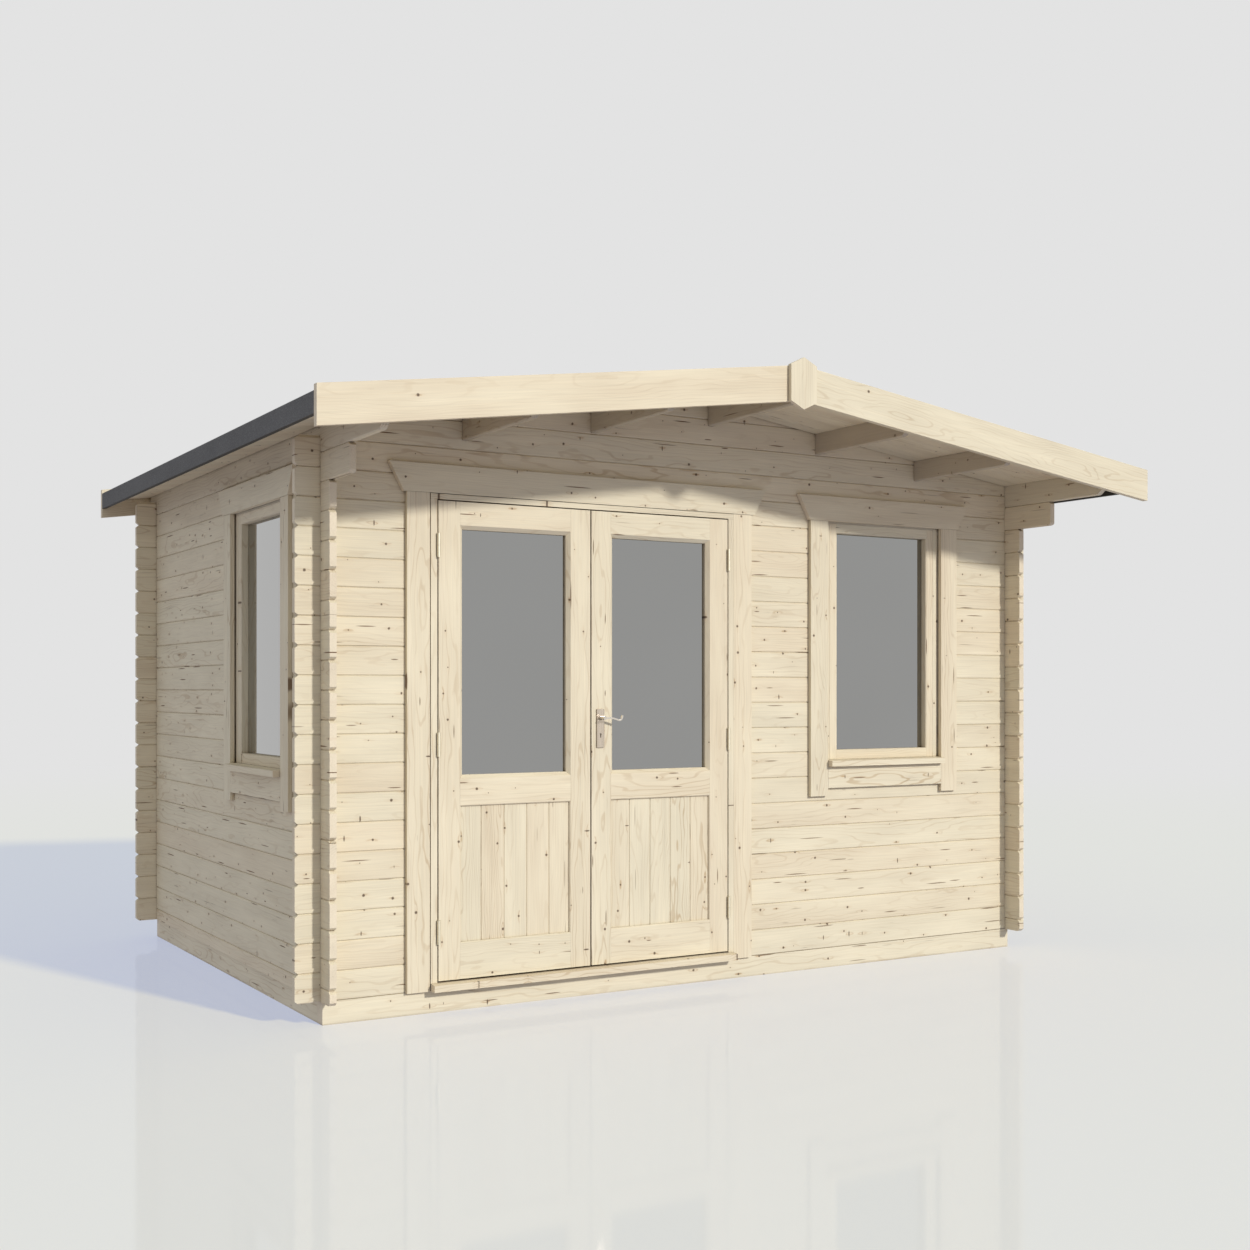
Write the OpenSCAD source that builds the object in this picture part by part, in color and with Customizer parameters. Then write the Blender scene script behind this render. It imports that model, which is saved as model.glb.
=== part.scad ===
// Garden log cabin: interlocking logs on a timber base, a shallow gable roof
// that reaches forward as a canopy, double doors and two fixed windows.
// +X runs along the front wall, +Y into the cabin, +Z up. The origin is on the
// ground, in the middle of the roof's plan.

/* [Log walls] */
// Length of the front and back walls, outer face to outer face
wall_w = 3600; // [3000:10:4800]
// Depth of the side walls, outer face to outer face
wall_d = 2520; // [2000:10:3600]
// Thickness of a log
log_t = 28; // [19:1:44]
// Height that one log adds to a wall
log_h = 114; // [110:1:140]
// Full logs below the gables of the front and back walls
log_rows = 19; // [19:1:22]
// How far a log runs on past the corner it crosses
corner_run = 102; // [60:1:160]
// Chamfer along a log's four edges, which makes the V joints
log_edge = 4; // [2:0.5:6]
// Length of the sloping cut at a free log end
end_cut = 15; // [0:1:25]
// Height of the sloping cut at a free log end
end_rise = 12; // [0:1:20]
// Width of the tongue on top of a log
tongue_w = 9; // [6:1:12]
// Height of the tongue
tongue_h = 8; // [5:1:12]

/* [Base and floor] */
// Height of the base beams
base_h = 90; // [60:1:150]
// Width of a base beam
beam_w = 60; // [44:1:100]
// How far the side and back beams stand inside the wall faces
beam_inset = 8; // [0:1:16]
// Width of a floor joist
joist_w = 44; // [30:1:60]
// Number of floor joists
joist_count = 6; // [4:1:10]
// Thickness of the floor boards
floor_t = 19; // [15:1:28]
// Width of a floor board
floor_board_w = 110; // [80:5:150]

/* [Roof] */
// Slope of the roof, in degrees
roof_pitch = 7.75; // [5:0.25:15]
// Height of the eaves purlins at the wall's outer face, up to the roof boards
eaves_purlin_h = 103; // [90:1:130]
// Reach of the canopy in front of the front wall, to the barge board's face
canopy = 658; // [400:1:900]
// Reach of the roof behind the back wall, to the barge board's face
rear_reach = 128; // [80:1:300]
// Reach of the roof beyond each side wall
side_reach = 248; // [150:1:350]
// Thickness of the roof boards
roof_t = 19; // [15:1:28]
// Width of a roof board
roof_board_w = 108; // [80:1:140]
// Thickness of the felt
felt_t = 3; // [2:0.5:5]
// Height of a purlin
purlin_h = 90; // [60:1:140]
// Length of the cut across a purlin's lower corner at each end
purlin_cut = 30; // [0.5:0.5:60]
// Height of the cut across a purlin's lower corner at each end
purlin_rise = 24; // [0.5:0.5:40]
// Height of an eaves board
eaves_board_h = 78; // [60:1:120]
// Thickness of an eaves board
eaves_board_t = 18; // [15:1:28]
// Rise of the roof felt over the eaves boards, above the roof boards
eaves_kerb = 18; // [0:1:25]
// Height of a barge board
barge_h = 145; // [100:1:180]
// Thickness of a barge board
barge_t = 28; // [19:1:40]
// Height of the barge board's top above the roof boards' underside
barge_rise = 60; // [30:1:90]
// Width of the finial boards
finial_w = 130; // [80:1:180]
// Height of the finial boards
finial_h = 212; // [150:1:260]
// Height of the finial's point above its shoulders
finial_point = 32; // [10:1:60]
// Height of the finial's top above the barge boards' top
finial_rise = 28; // [10:1:50]
// Thickness of the finial boards
finial_t = 20; // [15:1:28]
// How far the bracket logs under the canopy reach forward of the wall
bracket_reach = 310; // [200:1:500]

/* [Doors] */
// Middle of the doorway, from the front wall's left outer corner
door_mid = 1178; // [1000:1:2400]
// Width of the two door leaves together, with the gap between them
door_w = 1393; // [1200:1:1600]
// Height of a door leaf
leaf_h = 1914; // [1800:1:1950]
// Thickness of a door leaf
leaf_t = 44; // [36:1:54]
// Width of the stiles and the top rail
stile_w = 94; // [70:1:120]
// Depth of the glass behind the leaf's face
glass_depth = 29; // [26:1:34]
// Depth of the panel behind the leaf's face
panel_depth = 10; // [6:1:20]
// Thickness of the panel
panel_t = 16; // [10:1:24]
// Height of the middle rail
mid_rail_h = 106; // [80:1:150]
// Height of the bottom rail
bottom_rail_h = 144; // [100:1:200]
// Height of the middle rail's underside above the leaf's foot
mid_rail_z = 697; // [500:1:900]
// Boards in one door panel
panel_boards = 5; // [3:1:8]
// Gap round the door leaves
door_gap = 5; // [5:0.5:8]
// How far the door frame and leaves stand forward of the trims
frame_proud = 3; // [1:0.5:6]
// Gap between the door frame and the trims round it
trim_gap = 2.5; // [0.5:0.5:5]
// Gap between the two leaves
meeting_gap = 6; // [6:0.5:8]
// Width of a door jamb
jamb_w = 60; // [50:1:90]
// Width of the jamb that shows between leaf gap and trim
jamb_show = 28; // [20:1:40]
// Depth of the door frame behind the wall's outer face
jamb_in = 50; // [40:1:80]
// Width of the stop that the leaves close against
stop_w = 12; // [8:1:18]
// Thickness of the door sill
sill_t = 31; // [20:1:45]
// How far the door sill stands out from the wall
sill_out = 58; // [40:1:90]
// Angle to which each leaf opens
door_open = 165; // [90:5:165]

/* [Windows] */
// Middle of the front window, from the front wall's left outer corner
front_window_mid = 2787; // [2500:1:3100]
// Middle of the side window, from the front wall's outer face
side_window_mid = 769; // [600:1:1700]
// Width between the window trims
window_w = 692; // [500:1:900]
// Height of the sill's top above the ground
window_sill_z = 963; // [800:1:1100]
// Height of the window's clear frame above the sill
window_h = 1100; // [900:1:1130]
// Depth of the window frame's and the sash's face behind the wall's outer face
window_face = 7; // [1:0.5:14]
// Width of the frame that shows inside the trims
window_show = 29; // [10:1:40]
// Height of the frame's foot member
window_foot_h = 40; // [30:1:60]
// Width of the sash members
sash_w = 40; // [36:1:70]
// Thickness of the sash
sash_t = 44; // [42:1:50]
// Depth of the glass behind the sash's face
sash_glass_depth = 33; // [20:1:34]
// Depth of the window frame behind the wall's outer face
window_in = 60; // [52:1:80]
// Thickness of the window sills
window_sill_t = 30; // [20:1:38]
// How far the window sills stand out from the wall
window_sill_out = 50; // [30:1:80]

/* [Trims and glass] */
// Width of the trims beside the doors and windows
trim_w = 100; // [70:1:130]
// Thickness of the trims
trim_t = 20; // [15:1:28]
// How far a trim laps over a window frame
trim_lap = 25; // [10:1:40]
// How far the trims beside a window run on below its apron
trim_tail = 36; // [0:1:80]
// Thickness of the head boards
head_t = 24; // [18:1:32]
// Height of the head boards
head_h = 114; // [80:1:140]
// How far a head board's top corner runs past its foot
head_flare = 62; // [0:1:80]
// Thickness of the glass
glass_t = 4; // [3:0.5:6]
// Width of the sloping edge that the doors' wood has round the glass
bead_w = 15; // [6:1:20]
// Depth of that sloping edge
bead_d = 16; // [4:1:22]
// Width and depth of the sloping edge round a door panel and in a sash
small_bead = 4; // [2:0.5:8]
// How far glass and panels sit behind the wood on every side
rebate = 10; // [6:1:14]

/* [Door furniture] */
// Height of a hinge
hinge_h = 96; // [70:1:120]
// Radius of a hinge barrel
hinge_r = 6.5; // [5:0.5:8]
// Radius of a hinge pin
pin_r = 3; // [2:0.5:4]
// Width of the handle plate
plate_w = 36; // [30:1:50]
// Height of the handle plate
plate_h = 162; // [120:1:220]
// Thickness of the handle plate
plate_t = 6; // [3:0.5:10]
// Height of the lever's axis above the leaf's foot
spindle_z = 1041; // [900:1:1100]
// Distance of the lever's axis from the leaf's meeting edge
spindle_in = 41; // [35:1:48]
// Radius of the lever's bar
lever_r = 3.5; // [3:0.5:6]
// Reach of the lever from the door's face
lever_out = 45; // [35:1:60]

/* [Hidden] */

$fn = 32;
seat = 0.3;                 // gap left between pieces that rest on each other
eps = 1;                    // how far a cutter runs past the faces it cuts
spruce = [0.90, 0.83, 0.70];
spruce_end = [0.82, 0.70, 0.53];
felt_grey = [0.33, 0.33, 0.34];
glass_grey = [0.62, 0.66, 0.66, 0.5];
nickel = [0.72, 0.71, 0.69];

slope = tan(roof_pitch);
half_w = wall_w / 2;
front_y = (canopy - rear_reach - wall_d) / 2;   // outer face of the front wall
back_y = front_y + wall_d;                      // outer face of the back wall
left_x = -half_w;                               // outer face of the left wall
right_x = half_w;                               // outer face of the right wall

// Height of a front or back wall's joint under log number k
function row_z(k) = base_h + k * log_h;
// Height of a side wall's joint: side logs lie half a log higher
function side_row_z(k) = base_h + (k - 0.5) * log_h;

side_rows = log_rows - 1;                       // whole side logs above the half log
purlin_foot = side_row_z(side_rows + 1);        // foot of the eaves purlins
eaves_z = purlin_foot + eaves_purlin_h;         // roof boards' underside at the wall's face

// Height of the roof boards' underside at a distance x from the ridge
function roof_z(x) = eaves_z + (half_w - abs(x)) * slope;

// ---------------------------------------------------------------- logs

tongue_stop = 4;            // how far a tongue stops short of a free end's cut

// Cross-section of a log: chamfered edges and a tongue on top
module log_section() {
    top = log_h - seat;
    mid = log_t / 2;
    polygon([
        [0, log_edge], [0, top - log_edge], [log_edge, top],
        [mid - tongue_w / 2, top], [mid - tongue_w / 2 + 1, top + tongue_h],
        [mid + tongue_w / 2 - 1, top + tongue_h], [mid + tongue_w / 2, top],
        [log_t - log_edge, top], [log_t, top - log_edge], [log_t, log_edge],
        [log_t - log_edge, 0], [log_edge, 0]]);
}

// Groove below a log from a to b, which takes the tongue of the log under it.
// It stops before a free end.
module groove(a, b, free_a, free_b) {
    half = (tongue_w + 1) / 2;
    from = free_a ? a + end_cut + tongue_stop / 2 : a - eps;
    to = free_b ? b - end_cut - tongue_stop / 2 : b + eps;
    translate([from, log_t / 2, 0]) rotate([90, 0, 90]) linear_extrude(to - from)
        polygon([[-half, -eps], [half, -eps], [half, 0], [half - 1, tongue_h + 1],
            [1 - half, tongue_h + 1], [-half, 0]]);
}

// Side view of a log from a to b. A free end has its corners cut off; a
// crossing takes a quarter of the height out of the top and out of the foot.
module log_outline(a, b, free_a, free_b, crossings, low) {
    high = log_h + tongue_h + eps;
    top = log_h - seat;
    difference() {
        polygon(concat(
            free_a ? [[a, low + end_rise], [a + end_cut, low]] : [[a, low]],
            free_b ? [[b - end_cut, low], [b, low + end_rise]] : [[b, low]],
            free_b ? [[b, top - end_rise], [b - end_cut, top],
                [b - end_cut - tongue_stop, top], [b - end_cut - tongue_stop, high]] : [[b, high]],
            free_a ? [[a + end_cut + tongue_stop, high], [a + end_cut + tongue_stop, top],
                [a + end_cut, top], [a, top - end_rise]] : [[a, high]]));
        for (c = crossings) {
            translate([c - seat, log_h * 0.75 - seat / 2])
                square([log_t + 2 * seat, high]);
            translate([c - seat, -eps])
                square([log_t + 2 * seat, log_h / 4 + seat / 2 + eps]);
        }
    }
}

// One log along +X with its outer face on y = 0 and its foot on z = 0.
// low cuts the foot away, for the half log that starts a side wall.
module log_bar(a, b, free_a = false, free_b = false, crossings = [], low = 0) {
    difference() {
        intersection() {
            translate([a - eps, 0, 0]) rotate([90, 0, 90])
                linear_extrude(b - a + 2 * eps) log_section();
            translate([0, log_t + eps, 0]) rotate([90, 0, 0])
                linear_extrude(log_t + 2 * eps)
                    log_outline(a, b, free_a, free_b, crossings, low);
        }
        if (low == 0) groove(a, b, free_a, free_b);
    }
}

// Turns a wall made along +X into one that runs along +Y, log_t thick from x
module along_y(x) {
    translate([x + log_t, 0, 0]) rotate([0, 0, 90]) children();
}

// A front or back wall's logs from row first to row last, between a and b
module cross_rows(y, first, last, a, b, free_a, free_b) {
    crossings = [for (c = [left_x, right_x - log_t]) if (c > a && c < b) c];
    for (k = [first:1:last])
        translate([0, y, row_z(k)]) log_bar(a, b, free_a, free_b, crossings);
}

// A side wall's logs from row first to row last, between the distances a and b
module side_rows_between(x, first, last, a, b, free_a, free_b) {
    crossings = [for (c = [front_y, back_y - log_t]) if (c > a && c < b) c];
    for (k = [first:1:last])
        translate([0, 0, side_row_z(k)]) along_y(x)
            log_bar(a, b, free_a, free_b, crossings, k == 0 ? log_h / 2 : 0);
}

// ---------------------------------------------------------------- openings

// Door opening in the logs
door_x = left_x + door_mid;
frame_half = door_w / 2 + door_gap;                     // to the jamb's inner face
door_cut_half = frame_half + jamb_w;                    // to the jamb's outer face
leaf_z = base_h + sill_t + door_gap + 2;                // foot of the leaves
head_z = leaf_z + leaf_h + door_gap;                    // underside of the frame's head
door_cut_top = head_z + jamb_w;
trim_in_half = frame_half + jamb_show;                  // to the outer edge of the frame's face
trim_out_half = trim_in_half + trim_w;                  // to the trim's outer edge
head_lip = 21.7;                                        // height of the head that shows
frame_face = trim_t + frame_proud;                      // face of the leaves, from the wall's
head_board_z = head_z + head_lip + trim_gap;            // foot of the door's head board

// Window opening in the logs
window_cut_half = window_w / 2 + trim_lap;
window_cut_low = window_sill_z - window_foot_h;
window_cut_top = window_sill_z + window_h + trim_lap + window_show;
front_window_x = left_x + front_window_mid;
side_window_y = front_y + side_window_mid;
window_head_gap = 6;                                    // from the clear frame to its board
window_head_z = window_sill_z + window_h + window_head_gap;

// Rows of the front wall that the openings cut
door_top_row = floor((door_cut_top - base_h) / log_h);          // row over the doorway
window_foot_row = floor((window_cut_low - base_h) / log_h);     // row under the window
window_top_row = floor((window_cut_top - base_h) / log_h);      // row over the window
side_foot_row = floor((window_cut_low - base_h) / log_h + 0.5);
side_top_row = floor((window_cut_top - base_h) / log_h + 0.5);

// The space that the door frame takes out of the front wall
module door_space() {
    translate([door_x - door_cut_half - seat, front_y - eps, base_h - eps])
        cube([2 * (door_cut_half + seat), log_t + 2 * eps, door_cut_top + seat - base_h + eps]);
}

// The space that a window frame takes out of a wall, in the window's own frame
module window_space() {
    translate([-window_cut_half - seat, -eps, window_cut_low - seat])
        cube([2 * (window_cut_half + seat), log_t + 2 * eps,
            window_cut_top - window_cut_low + 2 * seat]);
}

// Puts what is made in a window's own frame (middle on x = 0, wall face on
// y = 0) at the front window and at the side window
module at_front_window() { translate([front_window_x, front_y, 0]) children(); }
module at_side_window() { translate([left_x, side_window_y, 0]) rotate([0, 0, -90]) children(); }
module at_windows() {
    at_front_window() children();
    at_side_window() children();
}

// ---------------------------------------------------------------- walls

run_left = left_x - corner_run;
run_right = right_x + corner_run;
run_front = front_y - corner_run;
run_back = back_y + corner_run;

module front_wall_left() {
    color(spruce)
        cross_rows(front_y, 0, door_top_row - 1, run_left, door_x - door_cut_half - seat, true, false);
}

after_door = door_x + door_cut_half + seat;          // where the logs go on past the doors
beside_window = min(door_top_row, window_top_row) - 1;  // last row that the window parts

module front_wall_middle() {
    color(spruce)
        cross_rows(front_y, window_foot_row + 1, beside_window,
            after_door, front_window_x - window_cut_half - seat, false, false);
}

// Rows that run on from the doorway below the front window, and over a low one
module front_wall_lower() {
    color(spruce) difference() {
        union() {
            cross_rows(front_y, 0, window_foot_row, after_door, run_right, false, true);
            cross_rows(front_y, window_top_row, door_top_row - 1, after_door, run_right, false, true);
        }
        at_front_window() window_space();
    }
}

module front_wall_right() {
    color(spruce)
        cross_rows(front_y, window_foot_row + 1, beside_window,
            front_window_x + window_cut_half + seat, run_right, false, true);
}

// Cuts a gable's logs to the roof and lets the purlins through
module gable_cut(y) {
    out = half_w + corner_run;
    difference() {
        intersection() {
            children();
            translate([0, y + log_t + eps, 0]) rotate([90, 0, 0]) linear_extrude(log_t + 2 * eps)
                polygon([[-out, 0], [out, 0], [out, roof_z(out) - seat],
                    [0, roof_z(0) - seat], [-out, roof_z(out) - seat]]);
        }
        translate([0, y - eps, 0]) purlin_slots();
    }
}

// Slots for the purlins that pass through a gable
module purlin_slots() {
    for (i = [1:5]) translate([purlin_x(i) - seat, 0, purlin_low(i) - seat])
        cube([log_t + 2 * seat, log_t + 2 * eps, 2 * purlin_h]);
    for (side = [-1, 1]) on_side(side) translate([half_w - log_t - seat, 0, row_z(log_rows)])
        cube([log_t + corner_run, log_t + 2 * eps, 2 * log_h]);
}

gable_rows = ceil((roof_z(0) - row_z(log_rows)) / log_h);
module gable_rows_at(y) {
    gable_cut(y)
        for (k = [log_rows:log_rows + gable_rows - 1])
            translate([0, y, row_z(k)]) log_bar(left_x, right_x);
}

module front_gable() {
    color(spruce) difference() {
        union() {
            cross_rows(front_y, door_top_row, log_rows - 1, run_left, run_right, true, true);
            gable_rows_at(front_y);
        }
        door_space();
        at_front_window() window_space();
    }
}

module back_wall() {
    color(spruce) cross_rows(back_y - log_t, 0, log_rows - 1, run_left, run_right, true, true);
}

module back_gable() {
    color(spruce) gable_rows_at(back_y - log_t);
}

module left_wall_front() {
    color(spruce)
        side_rows_between(left_x, side_foot_row + 1, side_top_row - 1,
            run_front, side_window_y - window_cut_half - seat, true, false);
}

module left_wall_back() {
    color(spruce)
        side_rows_between(left_x, side_foot_row + 1, side_top_row - 1,
            side_window_y + window_cut_half + seat, run_back, false, true);
}

module left_wall_lower() {
    color(spruce) difference() {
        side_rows_between(left_x, 0, side_foot_row, run_front, run_back, true, true);
        at_side_window() window_space();
    }
}

module left_wall_top() {
    color(spruce) difference() {
        union() {
            side_rows_between(left_x, side_top_row, side_rows - 1, run_front, run_back, true, true);
            bracket_log(left_x);
        }
        at_side_window() window_space();
    }
}

module right_wall() {
    color(spruce) {
        side_rows_between(right_x - log_t, 0, side_rows - 1, run_front, run_back, true, true);
        bracket_log(right_x - log_t);
    }
}

bracket_front = front_y - bracket_reach;

// Top side log, which reaches forward under the eaves purlin as a bracket. The
// upright edges of its front end are chamfered.
module bracket_log(x) {
    difference() {
        side_rows_between(x, side_rows, side_rows, bracket_front, run_back, true, true);
        for (side = [0, 1]) translate([x + side * log_t, bracket_front, side_row_z(side_rows) - eps])
            mirror([side, 0, 0]) linear_extrude(log_h + 2 * eps)
                polygon([[-eps, -eps], [log_edge + eps, -eps], [-eps, log_edge + eps]]);
    }
}

// ---------------------------------------------------------------- roof

purlin_step = (wall_w - log_t) / 6;
purlin_front = front_y - canopy + barge_t + seat;
purlin_back = back_y + rear_reach - barge_t - seat;
eave_x = half_w + side_reach;
board_edge_x = eave_x - felt_t - eaves_board_t - seat;  // end of the roof boards

// Left face of purlin number i, from 0 at the left eaves to 6 at the right
function purlin_x(i) = left_x + i * purlin_step;
// Foot of purlin number i, below the lower of its two top corners
function purlin_low(i) =
    min(roof_z(purlin_x(i)), roof_z(purlin_x(i) + log_t)) - purlin_h;

// Upright section of a purlin: its top follows the roof, its lower edges are chamfered
module purlin_section(i, low) {
    a = purlin_x(i);
    b = a + log_t;
    polygon(concat(
        [[a, low + log_edge], [a + log_edge, low], [b - log_edge, low], [b, low + log_edge],
            [b, roof_z(b) - seat]],
        a < 0 && b > 0 ? [[0, roof_z(0) - seat]] : [],
        [[a, roof_z(a) - seat]]));
}

// A purlin with the lower corner of each end cut off
module purlin(i, low) {
    difference() {
        translate([0, purlin_back, 0]) rotate([90, 0, 0])
            linear_extrude(purlin_back - purlin_front) purlin_section(i, low);
        for (end = [0, 1])
            translate([purlin_x(i) - eps, end == 0 ? purlin_front : purlin_back, low])
                mirror([0, end, 0]) rotate([90, 0, 90]) linear_extrude(log_t + 2 * eps)
                    polygon([[-eps, -eps], [purlin_cut * (1 + eps / purlin_rise), -eps],
                        [-eps, purlin_rise * (1 + eps / purlin_cut)]]);
    }
}

module ridge_purlin() { color(spruce) purlin(3, purlin_low(3)); }

module middle_purlins() {
    color(spruce) for (i = [1, 2, 4, 5]) purlin(i, purlin_low(i));
}

// The eaves purlins lie on the side walls and lock over the cross walls' top logs
module eaves_purlins() {
    color(spruce) for (i = [0, 6]) difference() {
        purlin(i, purlin_foot + seat);
        for (y = [front_y, back_y - log_t])
            translate([purlin_x(i) - eps, y - seat, purlin_foot - eps])
                cube([log_t + 2 * eps, log_t + 2 * seat, log_h / 4 + seat / 2 + eps]);
        translate([0, 0, purlin_foot]) along_y(purlin_x(i))
            groove(bracket_front, run_back, true, true);
    }
}

// Mirrors what is made on the right of the ridge to the left side
module on_side(side) { mirror([side < 0 ? 1 : 0, 0, 0]) children(); }

// Cuts one slope of boards upright at the ridge and behind the eaves board
module between_ridge_and_eaves() {
    intersection() {
        children();
        translate([seat / 2, purlin_front - eps, 0])
            cube([board_edge_x - seat / 2, purlin_back - purlin_front + 2 * eps, 2 * roof_z(0)]);
    }
}

module roof_boards_right() { color(spruce) between_ridge_and_eaves() roof_slope(); }
module roof_boards_left() { color(spruce) on_side(-1) between_ridge_and_eaves() roof_slope(); }

// One slope of roof boards with V joints below. It runs over at both ends so
// that they can be cut upright.
module roof_slope() {
    over = roof_t;
    run = purlin_back - purlin_front;
    length = board_edge_x / cos(roof_pitch) + 2 * over;
    count = round(run / roof_board_w);
    step = run / count;
    v = 2.5;
    outline = concat([[0, 0]],
        [for (i = [1:count - 1]) for (p = [[i * step - v, 0], [i * step, v], [i * step + v, 0]]) p],
        [[run, 0], [run, roof_t], [0, roof_t]]);
    translate([-over * cos(roof_pitch), purlin_front, roof_z(0) + over * sin(roof_pitch)])
        rotate([0, roof_pitch, 0])
            rotate([90, 0, 90]) linear_extrude(length) polygon(outline);
}

// Height of the roof boards' top face at a distance x from the ridge
function board_top(x) = roof_z(x) + roof_t / cos(roof_pitch);

kerb_run = 90;                                   // length over which the felt rises
kerb_z = board_top(eave_x) + eaves_kerb;         // top of the eaves boards
eaves_foot = kerb_z + felt_t - eaves_board_h;    // foot of the eaves boards and felt

// Felt over one slope, which rises over the eaves board and folds down its face
module felt_side() {
    edge = eave_x - felt_t;
    translate([0, purlin_back, 0]) rotate([90, 0, 0]) linear_extrude(purlin_back - purlin_front)
        polygon([
            [seat / 2, board_top(0) + seat],
            [edge - kerb_run, board_top(edge - kerb_run) + seat],
            [edge - eaves_board_t - seat, board_top(edge - eaves_board_t) + seat],
            [edge - eaves_board_t - seat, kerb_z + seat],
            [edge, kerb_z + seat],
            [edge, eaves_foot],
            [eave_x, eaves_foot],
            [eave_x, kerb_z + seat + felt_t / 2],
            [eave_x - felt_t / 2, kerb_z + seat + felt_t],
            [edge - eaves_board_t, kerb_z + seat + felt_t],
            [edge - kerb_run, board_top(edge - kerb_run) + seat + felt_t],
            [seat / 2, board_top(0) + seat + felt_t]]);
}

module roof_felt_right() { color(felt_grey) felt_side(); }
module roof_felt_left() { color(felt_grey) on_side(-1) felt_side(); }

// Eaves boards, wrapped in felt
module eaves_boards() {
    color(felt_grey) for (side = [-1, 1]) on_side(side)
        translate([eave_x - felt_t - eaves_board_t, purlin_front, eaves_foot])
            cube([eaves_board_t - seat, purlin_back - purlin_front, kerb_z - eaves_foot]);
}

barge_top = roof_z(0) + barge_rise;

// A pair of barge boards with its face on y, which meets in a mitre at the ridge
module barge_pair(y) {
    for (side = [-1, 1]) on_side(side)
        translate([0, y + barge_t, 0]) rotate([90, 0, 0]) linear_extrude(barge_t)
            polygon([[seat / 2, barge_top - barge_h], [eave_x, barge_top - barge_h - eave_x * slope],
                [eave_x, barge_top - eave_x * slope], [seat / 2, barge_top]]);
}

module front_barge_boards() { color(spruce) barge_pair(front_y - canopy); }
module rear_barge_boards() { color(spruce) barge_pair(back_y + rear_reach - barge_t); }

// Six-sided board that covers the barge boards' mitre
module finial(y) {
    top = barge_top + finial_rise;
    low = top - finial_h;
    translate([0, y + finial_t, 0]) rotate([90, 0, 0]) linear_extrude(finial_t)
        polygon([[0, low], [finial_w / 2, low + finial_point],
            [finial_w / 2, top - finial_point], [0, top],
            [-finial_w / 2, top - finial_point], [-finial_w / 2, low + finial_point]]);
}

module finials() {
    color(spruce) {
        finial(front_y - canopy - finial_t - seat);
        finial(back_y + rear_reach + seat);
    }
}

// ---------------------------------------------------------------- base

module base_frame() {
    long = wall_w - 2 * beam_inset;
    inner_d = wall_d - beam_inset - 2 * beam_w - 2 * seat;
    color(spruce_end) {
        for (y = [front_y, back_y - beam_inset - beam_w])
            translate([-long / 2, y, 0]) cube([long, beam_w, base_h - seat]);
        for (x = [-long / 2, long / 2 - beam_w])
            translate([x, front_y + beam_w + seat, 0]) cube([beam_w, inner_d, base_h - seat]);
        gap = (long - 2 * beam_w) / (joist_count + 1);
        for (i = [1:joist_count])
            translate([-long / 2 + beam_w + i * gap - joist_w / 2, front_y + beam_w + seat, 0])
                cube([joist_w, inner_d, base_h - seat]);
    }
}

// Floor boards along +X, shown as one deck with a V joint between the boards
module floor_boards() {
    gap = 2;                     // round the deck
    room_w = wall_w - 2 * log_t - 2 * gap;
    room_d = wall_d - 2 * log_t - 2 * gap;
    count = round(room_d / floor_board_w);
    step = room_d / count;
    v = 2;
    color(spruce) difference() {
        translate([-room_w / 2, front_y + log_t + gap, base_h]) rotate([90, 0, 90])
            linear_extrude(room_w) polygon(concat([[0, 0], [room_d, 0], [room_d, floor_t]],
                [for (i = [count - 1:-1:1])
                    for (p = [[i * step + v, floor_t], [i * step, floor_t - v], [i * step - v, floor_t]]) p],
                [[0, floor_t]]));
        translate([door_x - door_cut_half - 1, front_y, base_h - eps])
            cube([2 * door_cut_half + 2, jamb_in + 1, floor_t + 2 * eps]);
    }
}

// ---------------------------------------------------------------- doors

leaf_front = front_y - frame_face;               // outer face of the leaves and the frame
stop_y = leaf_front + leaf_t + door_gap;         // face of the door stop
leaf_w = (door_w - meeting_gap) / 2;

// A jamb's section with its inner face on x = 0 and the wall towards -X
module jamb_section() {
    polygon([[0, -frame_face], [0, stop_y - front_y], [stop_w, stop_y - front_y],
        [stop_w, jamb_in], [-jamb_w, jamb_in], [-jamb_w, seat], [-jamb_show, seat],
        [-jamb_show, -frame_face]]);
}

module door_frame() {
    color(spruce) {
        for (side = [-1, 1])
            translate([door_x, front_y, base_h + sill_t + seat]) mirror([side > 0 ? 1 : 0, 0, 0])
                translate([-frame_half, 0, 0])
                    linear_extrude(head_z - base_h - sill_t - 2 * seat) jamb_section();
        union() {
            across(door_cut_half)
                polygon([[seat, 0], [jamb_in, 0], [jamb_in, jamb_w], [seat, jamb_w]]);
            across(trim_in_half)
                polygon([[-frame_face, 0], [log_t / 2, 0], [log_t / 2, head_lip],
                    [-frame_face, head_lip]]);
        }
        across(frame_half - stop_w - seat) polygon([[stop_y - front_y, -stop_w],
            [jamb_in, -stop_w], [jamb_in, eps], [stop_y - front_y, eps]]);
    }
}

// Extrudes a section along the frame's head, to half_length on both sides
module across(half_length) {
    translate([door_x - half_length, front_y, head_z]) rotate([90, 0, 90])
        linear_extrude(2 * half_length) children();
}

sill_fall = 4;                                   // how far a sill slopes down outwards

module door_sill() {
    color(spruce)
        translate([door_x, front_y, base_h]) rotate([90, 0, 90])
            translate([0, 0, -trim_in_half + 1]) linear_extrude(2 * trim_in_half - 2)
                polygon([[-sill_out, 0], [jamb_in, 0], [jamb_in, sill_t],
                    [-frame_face, sill_t], [-sill_out, sill_t - sill_fall]]);
}

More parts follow.
